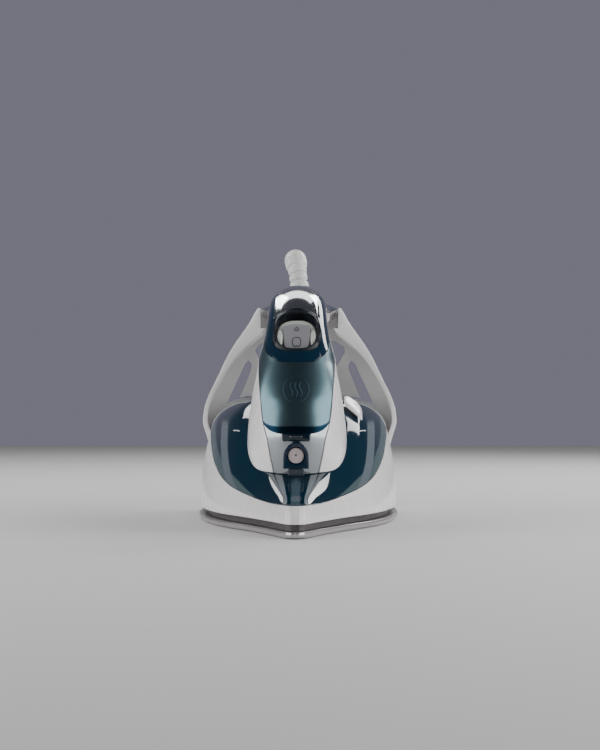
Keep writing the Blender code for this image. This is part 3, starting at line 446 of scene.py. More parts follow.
def buildBrushed():
    # drawn metal: long fine lines along Y, a slow stain, and lines in the gloss
    tree, start, end = newGroup("brushedMetal", {"Gloss": 0.3, "Lines": 0.12, "Stain": 0.1})
    spot = node(tree, "ShaderNodeTexCoord").outputs["Object"]
    mapping = node(tree, "ShaderNodeMapping")
    mapping.inputs["Scale"].default_value = (900, 14, 900)
    tree.links.new(spot, mapping.inputs["Vector"])
    lines = noiseAt(tree, mapping.outputs[0], 1.0, 4)
    stain = noiseAt(tree, spot, 30.0, 5)
    change = calculate(tree, "ADD", sway(tree, lines, 0.5, start["Lines"]),
                       sway(tree, stain, 0.5, start["Stain"]))
    rough = calculate(tree, "ADD", start["Gloss"], times(tree, lines, start["Lines"]))
    return deliver(tree, end, brighten(tree, start["Colour"], change), rough, lines)


mouldedGroup, brushedGroup = buildMoulded(), buildBrushed()


def finish(name, colour, gloss=0.3, metallic=0.0, coat=0.0, coatGloss=0.05, drift=0.02, marks=0.1,
           grain=900, dust=0.04, wear=0.0, bump=0.02, brushed=False, lines=0.12):
    made = bpy.data.materials.new(name)
    made.use_nodes = True
    tree = made.node_tree
    shader = tree.nodes["Principled BSDF"]
    group = node(tree, "ShaderNodeGroup", node_tree=brushedGroup if brushed else mouldedGroup)
    values = {"Colour": (*colour, 1), "Gloss": gloss}
    values.update({"Lines": lines, "Stain": drift} if brushed else
                  {"Drift": drift, "Marks": marks, "Grain": grain, "Dust": dust, "Wear": wear})
    for label, value in values.items():
        group.inputs[label].default_value = value
    shader.inputs["Metallic"].default_value = metallic
    shader.inputs["IOR"].default_value = 1.5
    shader.inputs["Coat Weight"].default_value = coat
    shader.inputs["Coat Roughness"].default_value = coatGloss
    tree.links.new(group.outputs["Colour"], shader.inputs["Base Color"])
    tree.links.new(group.outputs["Roughness"], shader.inputs["Roughness"])
    relief = node(tree, "ShaderNodeBump")
    relief.inputs["Strength"].default_value = bump
    relief.inputs["Distance"].default_value = 0.0004
    tree.links.new(group.outputs["Height"], relief.inputs["Height"])
    tree.links.new(relief.outputs["Normal"], shader.inputs["Normal"])
    return made


def paintedBy(made, attribute, colour):
    # mixes a colour in by an attribute of the piece, over what the finish already has
    tree = made.node_tree
    shader = tree.nodes["Principled BSDF"]
    under = shader.inputs["Base Color"].links[0].from_socket
    mask = node(tree, "ShaderNodeAttribute", attribute_name=attribute)
    tree.links.new(mixColours(tree, mask.outputs["Fac"], under, colour), shader.inputs["Base Color"])
    return made


shellWhite = finish("shellWhite", (0.86, 0.825, 0.83), gloss=0.26, coat=0.35, drift=0.03, grain=1400,
                    dust=0.05, bump=0.03)
heelWhite = finish("heelWhite", (0.84, 0.825, 0.825), gloss=0.34, coat=0.2, drift=0.035, marks=0.12,
                   grain=1400, dust=0.06, bump=0.05)
tankTint = finish("tankTint", (0.003, 0.020, 0.038), gloss=0.045, drift=0.006, marks=0.03, dust=0.05,
                  bump=0.006)
navyGloss = finish("navyGloss", (0.004, 0.020, 0.042), gloss=0.05, drift=0.006, marks=0.03, dust=0.05,
                   wear=0.02, bump=0.006)
fasciaGloss = finish("fasciaGloss", (0.34, 0.37, 0.39), gloss=0.1, metallic=0.85, coat=0.3, coatGloss=0.03,
                     drift=0.01, marks=0.04, dust=0.03, wear=0.03, bump=0.01)
tealSatin = finish("tealSatin", (0.115, 0.19, 0.218), gloss=0.29, metallic=0.94, drift=0.01, marks=0.05,
                   grain=2600, dust=0.02, wear=0.04, bump=0.03)
emblemTeal = finish("emblemTeal", (0.03, 0.07, 0.095), gloss=0.4, metallic=0.6, drift=0.01, marks=0.05,
                    grain=2600, dust=0.02, wear=0.02)
chromePlate = finish("chromePlate", (0.80, 0.83, 0.84), gloss=0.06, metallic=1.0, bump=0.01, brushed=True,
                     lines=0.05)
soleSilver = finish("soleSilver", (0.52, 0.50, 0.50), gloss=0.26, metallic=0.85, drift=0.08, bump=0.05,
                    brushed=True)
darkMatt = finish("darkMatt", (0.035, 0.026, 0.026), gloss=0.5, marks=0.2, grain=1900, dust=0.15, wear=0.1,
                  bump=0.12)
bezelGloss = finish("bezelGloss", (0.006, 0.010, 0.016), gloss=0.16, drift=0.006, marks=0.05, dust=0.05,
                    wear=0.05, bump=0.01)
buttonGrey = finish("buttonGrey", (0.37, 0.365, 0.395), gloss=0.36, metallic=0.3, marks=0.08, grain=2400,
                    dust=0.02, wear=0.05, bump=0.05)
cupPale = finish("cupPale", (0.58, 0.61, 0.55), coat=0.15, drift=0.03, bump=0.03)
markInk = finish("markInk", (0.05, 0.055, 0.065), gloss=0.5)
nozzlePink = finish("nozzlePink", (0.52, 0.44, 0.45), coat=0.3, drift=0.04, wear=0.05, bump=0.05)
ductGrey = finish("ductGrey", (0.10, 0.115, 0.14), gloss=0.18, coat=0.6, wear=0.05)
innerSteel = finish("innerSteel", (0.5, 0.5, 0.5), metallic=1.0, drift=0.1, brushed=True)
castAlloy = finish("castAlloy", (0.5, 0.5, 0.51), gloss=0.45, metallic=0.9, drift=0.1, marks=0.2, grain=500,
                   dust=0.1, wear=0.3, bump=0.3)
pinNickel = finish("pinNickel", (0.72, 0.69, 0.62), gloss=0.15, metallic=1.0, drift=0.06, brushed=True,
                   lines=0.1)
boardGreen = finish("boardGreen", (0.02, 0.12, 0.05), coat=0.4, drift=0.05, marks=0.08, grain=700,
                    wear=0.05)
lensRed = finish("lensRed", (0.5, 0.03, 0.02), gloss=0.08, coat=0.8, drift=0.05, marks=0.08, wear=0.05)
cordWhite = finish("cordWhite", (0.74, 0.735, 0.725), gloss=0.42, drift=0.05, marks=0.15, grain=1100,
                   dust=0.12, bump=0.12)
guardWhite = finish("guardWhite", (0.74, 0.74, 0.73), gloss=0.4, drift=0.05, marks=0.15, grain=1300,
                    dust=0.1, bump=0.1)
print("finishes are mixed")


# Stage

stageSettings = {"colour": (0.70, 0.69, 0.68), "reach": 6.0, "back": 1.45, "under": -0.0004}
floorMesh = bpy.data.meshes.new("floor")
reach, back, under = (stageSettings[key] for key in ("reach", "back", "under"))
floorMesh.from_pydata([(-reach, -reach, under), (reach, -reach, under), (reach, back, under),
                       (-reach, back, under)], [], [(0, 1, 2, 3)])
floor = show(bpy.data.objects.new("floor", floorMesh))
floorMesh.materials.append(finish("floorPaper", stageSettings["colour"], gloss=0.7, marks=0.05, grain=300,
                                  dust=0.0, bump=0.03))


# Flex: guard, cord, coil and plug

flex = {"diameter": 7.0, "length": 2.0, "ball": (0.0, 277.0, 133.5), "coil": (0.0, 366.0),
        "plug": (26.0, 439.2, 18.8)}
ballX, ballS, ballZ = flex["ball"]
guardRoute = [(-0.2, ballS, ballZ + 10.8), (-0.7, ballS + 0.3, ballZ + 16), (-1.6, ballS + 2.2, ballZ + 22.5),
              (-2.6, ballS + 7.8, ballZ + 28.0), (-3.2, ballS + 16.2, ballZ + 31.0),
              (-3.4, ballS + 24.5, ballZ + 31.6)]
leadRoute = [(-3.4, 301.9, 165.1), (-3.4, 309, 165.0), (-3.2, 318, 163.0), (-2.4, 328, 156.5),
             (-1.2, 335.5, 146.0), (0.0, 338.6, 132.0), (0.8, 338.8, 116.0), (1.2, 337.4, 98.0),
             (1.4, 335.6, 80.0), (1.0, 334.2, 64.0), (-0.6, 333.4, 49.0), (-4.6, 333.2, 35.8),
             (-12.0, 333.8, 25.2), (-20.4, 335.6, 18.8), (-27.0, 338.5, 17.1)]
tailRoute = [(-56.5, 366, 3.7), (-56.5, 380, 3.7), (-56.3, 394, 3.9), (-54, 408, 4.6),
             (-48.6, 420.4, 6.6), (-40.4, 430.4, 10.2), (-32, 436.6, 14.8), (-25.6, 439.0, 18.4),
             (-19.6, 439.2, 18.8)]


def smooth(t):
    t = np.clip(t, 0, 1)
    return t * t * (3 - 2 * t)


def coilPath():
    # Turns of constant radius, each with a short step to the next. Three above run inwards, then four
    # on the floor run outwards. The angle falls, so it winds clockwise as seen from above.
    turn = np.linspace(0, 7.126, 330)
    whole = np.floor(turn)
    part = turn - whole
    step = smooth((part - 0.80) / 0.20)
    hop = np.sin(np.pi * np.clip((part - 0.8) / 0.2, 0, 1)) ** 2
    dropping = (turn >= 2.8) & (turn < 3)
    radius = np.where(turn < 3, 45.5 - 7 * (whole + step), 28 + 7 * (whole - 3 + step))
    radius = np.where(dropping, 31.5 - 3.5 * step, radius)
    height = np.where(turn < 3, 9.75, 3.65) + np.where(turn < 2.8, 0.9 * hop, 0)
    height = np.where(dropping, 9.75 - 6.1 * step, height)
    radius = np.where(turn < 0.5, 38.5 + (radius - 38.5) * smooth(turn / 0.13), radius)
    height = np.where(turn < 0.5, 17.1 + (height - 17.1) * smooth((turn - 0.03) / 0.25), height)
    angle = math.atan2(338.5 - 366.0, -27.0) - turn * 2 * np.pi
    return np.stack([radius * np.cos(angle), flex["coil"][1] + radius * np.sin(angle), height], axis=1)


def cordPath():
    # lead, coil and tail as one line of even steps, with the joins smoothed
    lead = through(leadRoute, np.linspace(0, 1, 90))
    path = np.vstack([lead, coilPath()[2:-3], through(tailRoute, np.linspace(0, 1, 60))])
    path = evenly(path, 420)
    for _ in range(5):
        path[1:-1] = (path[:-2] + 2 * path[1:-1] + path[2:]) / 4
    return evenly(path, 420)


path = cordPath()
run = np.linalg.norm(np.diff(path, axis=0), axis=1).sum() / 1000
print("the flex is", round(run, 3), "m long")
cord = tube("cord_flex", path, flex["diameter"] / 2, 16)
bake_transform(cord, "swivel", "iron", start=tuple(place((-3.4, 303, 165.0))), end=tuple(place((0, 334, 40.0))))
dress(cord, "iron", cordWhite, "flex_white", "cord_lead", "cord_coil", "cord_tail")

guardSettings = {"segments": 8, "groove": 1.0}
guardLine = evenly(through(guardRoute, np.linspace(0, 1, 200)), 240)
share = np.linspace(0, 1, 240)
guardBase = station([(0, 6.3), (0.14, 5.7), (0.32, 5.9), (0.52, 7.1), (0.66, 7.0), (0.82, 5.6),
                     (1.0, 4.6)])(share)
phase = (share * guardSettings["segments"]) % 1.0
groove = np.exp(-((np.minimum(phase, 1 - phase)) / 0.11) ** 2)
# each segment swells a little between its two grooves
guardRadius = guardBase - guardSettings["groove"] * groove + 0.18 * np.sin(np.pi * phase)
guardRadius[-6:] -= np.linspace(0, 1.1, 6) ** 2
guard = dress(tube("cord_sleeve", guardLine, guardRadius, 40), "swivel", guardWhite, "flex_white",
              "cord_guard")

plugX, plugS, plugZ = flex["plug"]
plugProfile = through([(0, 0), (15.8, 0), (17.5, 0.5), (18.2, 2.2), (18.2, 7), (18.2, 12), (17.7, 17),
                       (15.6, 22.5), (11.8, 28.5), (8.8, 33), (7.2, 37), (6.0, 42), (5.2, 44.9)],
                      np.linspace(0, 1, 90))
plugProfile[:, 0] = np.clip(plugProfile[:, 0], 0, 18.25)
neck = plugProfile[:, 1] > 33
plugProfile[neck, 0] -= 0.45 * (np.sin(plugProfile[neck, 1] * 2 * np.pi / 2.6) > 0.2)
plugProfile[0], plugProfile[-1] = (0, 0), (4.6, 45.0)
plugProfile = np.vstack([plugProfile, (0, 45.0)])
plug = dress(turned("plug_moulding", plugProfile, flex["plug"], (-1, 0, 0), 72), "iron", cordWhite,
             "flex_white", "plug_body")
for label, offset, cadNode in (("rear", 9.5, "plug_pin_rear"), ("front", -9.5, "plug_pin_front")):
    profile = [(0, 0.35), (2.4, 0.35), (2.4, 17.4), (2.1, 18.4), (1.5, 18.85), (0, 19.0)]
    pin = turned("plug_contact_" + label, profile, (plugX, plugS + offset, plugZ), (1, 0, 0), 32)
    dress(pin, "iron", pinNickel, "plug_pins", cadNode)

# the tie that holds the turns together, at the coil's rear
tieAngle = around(60)
tieLoop = np.stack([np.zeros(60), flex["coil"][1] + 38.5 + 15.6 * np.sign(np.cos(tieAngle))
                    * np.abs(np.cos(tieAngle)) ** 0.55, 6.85 + 6.75 * np.sign(np.sin(tieAngle))
                    * np.abs(np.sin(tieAngle)) ** 0.7], axis=1)
tieOuter = np.stack([tieLoop + (w, 0, 0) for w in np.linspace(-4, 4, 9)])
tie = skin("cord_tie", tieOuter, wall=0.55, edge=0.15, outwardFrom=(0, 404.5, 6.8), wrap=True)
dress(tie, "iron", darkMatt, "dark_plastic")

# ball joint where the flex enters
ballArc = np.radians(np.linspace(-90, 50, 24))
ballProfile = np.vstack([np.stack([6.2 * np.cos(ballArc), 6.2 * np.sin(ballArc)], 1),
                         [(4.3, 5.6), (4.3, 10.3), (0, 10.4)]])
ballProfile[0] = (0, -6.2)
dress(turned("cord_pivot", ballProfile, flex["ball"], sides=48), "swivel", darkMatt, "dark_plastic",
      "cord_ball")
socketProfile = [(6.6, -7.0), (8.0, -7.0), (8.0, 0.9), (7.7, 1.5), (7.1, 1.6), (6.6, 1.2)]
dress(turned("cord_collar", socketProfile, flex["ball"], sides=48), "iron", darkMatt, "dark_plastic",
      "ball_socket")
print("the flex is laid")


# Hull: sole, skirt and tank

hull = {"soleLength": 280.5, "soleHalf": 61.3, "plateTop": 3.4, "skirtLow": 7.5, "bodyEnd": 268.0,
        "tankEnd": 284.0, "wall": 2.2}
solePlan = [(0, 0), (0.0045, 0.052), (0.022, 0.104), (0.107, 0.245), (0.221, 0.452), (0.36, 0.733),
            (0.5, 0.905), (0.663, 0.994), (0.8, 1.0), (0.909, 0.955), (0.963, 0.885), (0.99, 0.77),
            (1.0, 0.6), (1.0, 0.3), (1.0, 0.0)]
bodyPlan = [(0, 0), (0.0045, 0.052), (0.022, 0.104), (0.112, 0.245), (0.231, 0.455), (0.377, 0.735),
            (0.522, 0.905), (0.694, 0.994), (0.84, 1.0), (0.93, 0.975), (1.0, 0.935)]
seamHeight = station([(0, 17.2), (31, 16.9), (50, 17.7), (69, 19.2), (88, 21.6), (104, 24.4), (122, 28.4),
                      (140, 33.6), (158, 38.8), (185, 48.0), (215, 55.0), (245, 59.5), (290, 62.0)])
crestHeight = station([(0, 16.9), (10, 17.5), (30, 23.0), (58, 32.0), (85, 45.0), (105, 57.0),
                       (130, 69.0), (150, 74.3), (175, 76.0), (200, 76.3), (230, 76.0), (260, 75.0),
                       (290, 73.5)])
tankPowers = (4.2, 1.35)


def soleLoop(inset, z, count=150):
    half = through(solePlan, np.linspace(0, 1, count) ** 1.25)
    x = np.maximum(half[:, 1], 0) * (hull["soleHalf"] - inset)
    s = inset + half[:, 0] * (hull["soleLength"] - 2 * inset)
    right = np.stack([x, s, np.full(count, float(z))], axis=1)
    return np.vstack([right, right[-2:0:-1] * (-1, 1, 1)])


# the plate's edge is a quarter round below and a small step above
edgeTurn = np.linspace(0, np.pi / 2, 7)
soleRings = [soleLoop(1.7 - 1.7 * math.sin(a), 1.9 - 1.9 * math.cos(a)) for a in edgeTurn]
soleRings += [soleLoop(0.0, 2.5), soleLoop(0.25, 3.0), soleLoop(0.8, hull["plateTop"])]
plate = closedStack("sole_plate", soleRings)
holes = []
for s, x in [(26, 0), (48, 9), (72, 18), (98, 28), (126, 36), (156, 41)]:
    for side in ((1,) if x == 0 else (-1, 1)):
        holes.append(bore(1.9, -1, 5, (side * x, s, 0), sides=20))
carve(plate, *holes, edge=0.25, sharp=30)
dress(plate, "iron", soleSilver, "silver_sole", "soleplate")


def bodyLine(nose, halfWidth, fullness, t):
    half = through(bodyPlan, t)
    return (np.maximum(half[..., 1], 0) ** fullness * halfWidth,
            nose + half[..., 0] * (hull["bodyEnd"] - nose))


def skirtGrid(levels=40, count=150):
    # swells a little above its bottom edge, and draws in towards the tank's seam
    v = np.linspace(0, 1, levels)[:, None]
    t = (np.linspace(0, 1, count) ** 1.25)[None, :] + 0 * v
    lean = v**1.7
    half = through(bodyPlan, t)
    width = 60.2 + 0.9 * np.sin(np.pi * v) - 5.6 * lean
    nose = 1.0 + 6.0 * lean
    x = np.maximum(half[..., 1], 0) ** (1.0 - 0.05 * v) * width
    s = nose + half[..., 0] * (hull["bodyEnd"] - nose)
    z = hull["skirtLow"] + (seamHeight(s) - hull["skirtLow"]) * v
    right = np.stack([x, s, z], axis=-1)
    return np.concatenate([right[:, ::-1], right[:, 1:] * (-1, 1, 1)], axis=1)


dress(skin("skirt_shell", skirtGrid(), hull["wall"], 0.5, (0, 130, 20)), "iron", shellWhite,
      "white_plastic", "skirt")

tankLineX, tankLineS = bodyLine(7.0, 54.6, 0.95, np.linspace(0, 1, 60) ** 1.25)
tankLineS = np.append(tankLineS, [hull["tankEnd"] - 5, hull["tankEnd"]])
tankLineX = np.append(tankLineX, [tankLineX[-1] - 2.0, tankLineX[-1] - 3.5])


def tankHalf(s):
    return np.interp(s, tankLineS, tankLineX)


def tankPoint(s, share, lift=0.0):
    # a point over the tank: share is how far out it is, from 0 on the crest line to 1 at the seam
    low = seamHeight(s) + 0.55
    rise = (1 - np.clip(np.abs(share), 0, 1) ** tankPowers[0]) ** (1 / tankPowers[1])
    return np.stack([tankHalf(s) * share, s + 0 * share,
                     low + np.maximum(crestHeight(s) - low, 0.01) * rise + lift], axis=-1)


def tankHeight(x, s, lift=0.0):
    share = np.clip(np.abs(x) / np.maximum(tankHalf(s) + lift, 1e-6), 0, 1)
    low = seamHeight(s)
    return low + (crestHeight(s) + lift - low) * (1 - share ** tankPowers[0]) ** (1 / tankPowers[1])


def tankSkin(rows=170, around=121):
    s = (7.0 + np.linspace(0, 1, rows) ** 1.5 * (hull["tankEnd"] - 7.0))[:, None]
    angle = np.linspace(0, np.pi, around)[None, :]
    share = np.sign(np.cos(angle)) * np.abs(np.cos(angle)) ** (2 / tankPowers[0] * 1.15)
    return tankPoint(s + 0 * share, share + 0 * s)


tankGrid = tankSkin()
rows, columns = tankGrid.shape[:2]
tank = makePiece("tank_dome", tankGrid, gridFaces(rows, columns),
                 [tuple(range((rows - 1) * columns, rows * columns))], outwardFrom=(0, 150, 40))
thicken(tank, hull["wall"])
settle(tank, 50)


def surfaceMask(made, name, values):
    made.data.attributes.new(name, "FLOAT", "POINT").data.foreach_set("value", values.astype(np.float32))


def cornersOf(made):
    found = np.empty(len(made.data.vertices) * 3)
    made.data.vertices.foreach_get("co", found)
    return (found.reshape(-1, 3) - (0, tipY, 0)) * 1000


# a paler band (distance from the middle at each height) and a strip (its height over the seam)
tankMarks = {"bandHalf": 2.35, "band": [(18, 34.0), (21, 35.6), (24.5, 38.0), (28.5, 39.9), (32.3, 41.1),
                                        (38.3, 42.5), (49.2, 43.6), (58.4, 43.8), (64, 43.4)],
             "strip": [(50, 0), (60, 0.8), (75, 3.0), (95, 6.2), (115, 7.8), (130, 8.9), (160, 10),
                       (284, 12)]}
x, s, z = cornersOf(tank).T
offBand = np.abs(np.abs(x) - station(tankMarks["band"])(z))
surfaceMask(tank, "band", smooth((tankMarks["bandHalf"] + 0.3 - offBand) / 0.6) * smooth((61.5 - z) / 4))
above = z - seamHeight(s)
surfaceMask(tank, "strip", 0.85 * smooth((station(tankMarks["strip"])(s) + 0.4 - above) / 1.0))
spine = smooth((2.9 - np.abs(x)) / 0.8) * smooth((56 - s) / 3)
surfaceMask(tank, "spine", spine)
paintedBy(tankTint, "strip", (0.085, 0.125, 0.13))
paintedBy(tankTint, "band", (0.125, 0.150, 0.175))
paintedBy(tankTint, "spine", (0.06, 0.10, 0.125))
dress(tank, "iron", tankTint, "tinted_tank", "tank_shell")

# a level mark on each side: a short dash, printed white, at one height
for label, markX, markS in (("right", -35.8, 121.6), ("left", 38.4, 127.2)):
    u, v = np.linspace(-2.0, 2.0, 21)[:, None], np.linspace(-0.27, 0.27, 5)[None, :]
    slopeX = float(tankHeight(markX + 0.5, markS) - tankHeight(markX - 0.5, markS))
    slopeS = float(tankHeight(markX, markS + 0.5) - tankHeight(markX, markS - 0.5))
    markedX, markedS = markX + u + 0 * v, markS + (v - slopeX * u) / slopeS
    grid = np.stack([markedX, markedS, tankHeight(markedX, markedS, 0.12)], axis=-1)
    dress(skin("level_dash_" + label, grid, 0.0, 0.0, (0, 130, 40)), "iron", shellWhite, "white_plastic")
print("the hull is formed")


# Column and front panel

columnFront = station([(20, 60), (28, 57.5), (36, 55.2), (46, 53.8), (54, 53.4), (62, 53.6), (70, 55.0),
                       (80, 59.4), (90, 65.0), (96, 68.8), (118, 86.0), (128, 94.0)])
columnMiddle = station([(20, 108), (52, 104), (75, 100), (96, 98), (118, 104), (128, 112)])
columnRear = station([(20, 142), (60, 134), (75, 130), (85, 127.5), (96, 126), (107, 127), (118, 129),
                      (128, 131)])
columnWidth = station([(20, 27.0), (28, 27.8), (36, 28.5), (45, 28.8), (52.5, 28.6), (60, 28.0),
                       (68, 26.9), (75.5, 25.8), (82, 24.6), (88, 23.3), (96, 22.2), (107, 19.9),
                       (118, 17.6), (128, 16.8)])
seamX = station([(28, 12.0), (34, 12.6), (42, 14.4), (52, 16.2), (58, 17.9), (64, 19.3), (74, 20.4),
                 (82, 21.0), (90, 21.4), (96, 21.6)])
handleLine = [(64.0, 94.7, 22.2, 31.5, 0), (73.5, 104.5, 21.6, 27.5, 14), (84, 113.8, 20.2, 22.5, 32),
              (97, 124, 18.4, 18.0, 52), (112, 132.2, 17.4, 14.8, 70), (128, 137.6, 17.0, 13.4, 82),
              (145, 140.3, 17.0, 13.0, 90), (170, 140.6, 17.4, 13.0, 90), (205, 139.4, 18.0, 12.4, 90),
              (240, 137.4, 19.8, 10.0, 90), (262, 136.4, 22.2, 7.2, 90), (281, 135.4, 24.5, 5.2, 90)]
grip = {"edge": 127.2, "depth": 14.2}
coreTop, shellTop = 90.0, 94.0


def columnPoint(angle, z):
    front, middle, rear = columnFront(z), columnMiddle(z), columnRear(z)
    reach = np.where(angle <= np.pi / 2, middle - front, rear - middle)
    return np.stack([columnWidth(z) * np.sin(angle) ** 0.92, middle - reach * np.cos(angle), z], axis=-1)


def columnFoot(angle):
    # by halving, the height where the column meets the tank
    low, high = np.full(angle.shape, 15.0), np.full(angle.shape, 90.0)
    for _ in range(30):
        middle = (low + high) / 2
        point = columnPoint(angle, middle)
        under = middle < tankHeight(point[..., 0], point[..., 1]) + 0.35
        low, high = np.where(under, middle, low), np.where(under, high, middle)
    return high + 0.15


def handlePoint(along, turn, lift=0.0):
    # a point on the handle: along runs from the panel (0) to the heel (1), turn is 0 on the top line
    line = through(handleLine, np.asarray(along, float))
    width, depth, tilt = line[..., 2], line[..., 3], np.radians(line[..., 4])
    sink = (depth + lift) * (1 - np.cos(turn)) - lift
    return np.stack([(width + lift) * np.sin(turn), line[..., 0] + sink * np.cos(tilt),
                     line[..., 1] - sink * np.sin(tilt)], axis=-1)


def seamAngle(z):
    return np.arcsin(np.clip(seamX(z) / columnWidth(z), 0, 0.999) ** (1 / 0.92))


def shellEdge(angles):
    # the side shells' top edge: under the cover's edge, and at the back under the grip
    edge = handlePoint(np.linspace(0, 0.55, 60), math.radians(88))
    z = np.full(angles.shape, 100.0)
    for _ in range(40):
        point = columnPoint(angles, z)
        across = np.clip(np.abs(point[..., 0]) / 16.6, 0, 1)
        under = grip["edge"] - grip["depth"] * (1 - across**2) ** 0.4
        limit = np.minimum(np.interp(point[..., 1], edge[:, 1], edge[:, 2]), under)
        z = (z + np.maximum(limit - 1.0, shellTop)) / 2
    return z


v = down(70)
spread = across(61)
angles = np.abs(spread) * (seamAngle(34 + (coreTop - 34) * v) - 0.014)
foot = columnFoot(angles)
grid = columnPoint(angles, foot + (coreTop - foot) * v) * np.stack(
    [np.sign(spread + 1e-9) + 0 * v, 1 + 0 * spread * v, 1 + 0 * spread * v], axis=-1)
fascia = skin("front_fascia", grid, hull["wall"], 0.0, (0, 100, 60))
carve(fascia, outline([(-6.2, 50.6), (6.2, 50.6), (6.2, 58), (-6.2, 58)], 45, 66),
      bore(2.4, -8, 8, (0, 55, 42.8), (0, 1, 0), 32), sharp=30)
dress(fascia, "iron", fasciaGloss, "navy_gloss", "column_core")

for side, label in ((-1, "right"), (1, "left")):
    v = down(80)
    start = seamAngle(34 + (shellTop - 34) * v) + 0.016
    angles = start + (np.pi - 0.012 - start) * np.linspace(0, 1, 110)[None, :]
    foot, top = columnFoot(angles), shellEdge(angles)
    grid = columnPoint(angles, foot + (top - foot) * v) * (side, 1, 1)
    dress(skin("side_shell_" + label, grid, hull["wall"], 0.45, (0, 100, 70)), "iron", shellWhite,
          "white_plastic", "column_shell_" + label)

panelShape = {"foot": 54.6, "footRise": 6.5, "turn": 66, "turnGrowth": 14, "brow": 94.4, "browTurn": 80,
              "browGrowth": 6, "cheek": 13.5, "flareFrom": 74.0, "flareOver": 20.7}
panelFront = station([(54, 45.2), (58, 45.5), (64, 46.7), (72, 49.6), (80, 53.8), (90, 60.4), (96, 65.0)])
panelWidth = station([(54, 18.8), (64, 19.8), (74, 20.8), (82, 21.6), (90, 22.1), (96, 22.2)])


def panelRise(z):
    return np.clip((z - panelShape["flareFrom"]) / panelShape["flareOver"], 0, 1)


def panelFoot(share):
    # the bottom edge rises towards the sides
    return panelShape["foot"] + panelShape["footRise"] * share**3.2


def panelHalf(z):
    return panelWidth(z) + (1.0 - panelRise(z))


def panelPoint(turn, z, depth=0.0):
    belly = panelShape["cheek"] + (handleLine[0][3] - panelShape["cheek"]) * panelRise(z) ** 1.6
    return np.stack([(panelHalf(z) - depth) * np.sin(turn),
                     panelFront(z) + depth + (belly - depth) * (1 - np.cos(turn)), z], axis=-1)


coverBegin = station([(0, 0.003), (20, 0.004), (29, 0.012), (38.5, 0.033), (53.3, 0.086), (65.7, 0.177),
                      (77, 0.220), (88, 0.232)])


def coverStart(turn):
    # the panel rises round the rocker, so the cover begins later at its sides
    return coverBegin(np.abs(np.degrees(turn)))


spread = across(81)
v = down(70)
turns = spread * np.radians(panelShape["turn"] + panelShape["turnGrowth"] * v**2)
low = panelFoot(np.abs(spread))
lower = panelPoint(turns, low + (panelShape["brow"] - low) * v)
v = down(34, 0.04)
turns = spread * np.radians(panelShape["browTurn"] + panelShape["browGrowth"] * v)
upper = handlePoint((coverStart(np.maximum(np.abs(turns) - math.radians(1.3), 0)) - 0.002) * v, turns)
panel = skin("satin_panel", np.vstack([lower, upper]), 1.9, 0.5, (0, 120, 80))
x, s, z = cornersOf(panel).T
turn = np.degrees(np.arcsin(np.clip(np.abs(x) / panelHalf(z), 0, 1)))
share = np.clip(turn / panelShape["turn"], 0, 1.2)
low = panelFoot(share)
# a dark lip: deepest in the middle of the bottom edge, and narrow up the sides
under = smooth((1.7 + 3.2 * (1 - np.clip(share, 0, 1) ** 2) - (z - low)) / 0.6)
beside = smooth((turn - (62.5 + 14 * np.clip((z - 60) / 34.4, 0, 1) ** 2)) / 1.2)
surfaceMask(panel, "lip", np.maximum(under, beside) * (z < 97))
paintedBy(tealSatin, "lip", (0.004, 0.020, 0.040))
dress(panel, "iron", tealSatin, "teal_panel", "front_panel")

# the panel's emblem: a ring with three rising wisps of steam, a shade off the panel's own colour
emblem = {"height": 79.5, "radius": 7.2, "bar": 0.2}


def onPanel(x, z, lift=0.12):
    return panelPoint(np.arcsin(np.clip(x / panelHalf(z), -0.99, 0.99)), z, -lift)


a = around(72)
ringPath = onPanel(emblem["radius"] * np.cos(a), emblem["height"] + emblem["radius"] * np.sin(a))
dress(tube("emblem_ring", ringPath, emblem["bar"], 8, closed=True), "iron", emblemTeal, "navy_gloss")
for k in (-1, 0, 1):
    t = np.linspace(0, 1, 40)
    wisp = onPanel(2.6 * k + 0.8 * np.sin(2 * np.pi * t), emblem["height"] - 4.0 + 8.0 * t)
    dress(tube(f"emblem_wisp_{k + 2}", wisp, emblem["bar"], 8), "iron", emblemTeal, "navy_gloss")
print("the column is formed")


# Handle

well = {"centre": np.array((0.0, 84.6, 112.6)), "tilt": math.radians(41.5)}
wellUp = np.array((0.0, -math.sin(well["tilt"]), math.cos(well["tilt"])))
wellAlong = np.array((0.0, math.cos(well["tilt"]), math.sin(well["tilt"])))


def inWell(x, along, height):
    # a point by its place across, along and above the rocker's well
    return (well["centre"] + np.multiply.outer(x, (1, 0, 0)) + np.multiply.outer(along, wellAlong)
            + np.multiply.outer(height, wellUp))


def wellLoop(halfX, halfLong, height, count=120, square=0.82):
    a = np.arange(count) * 2 * np.pi / count
    x = halfX * np.sign(np.cos(a)) * np.abs(np.cos(a)) ** square
    along = halfLong * np.sign(np.sin(a)) * np.abs(np.sin(a)) ** square
    return inWell(x, along, height)


turns = np.radians(np.linspace(-88, 88, 81))[None, :]
v = down(190)
begin = coverStart(turns)
cover = skin("handle_cover", handlePoint(begin + (1 - begin) * v, turns + 0 * v), hull["wall"], 0.4,
             (0, 170, 110))
carve(cover, closedStack("cutter", [wellLoop(13.9, 18.3, -9), wellLoop(13.9, 18.3, 24)]),
      bore(8.3, -12, 16, flex["ball"]), sharp=30)
dress(cover, "iron", navyGloss, "navy_gloss", "handle_top_cover")

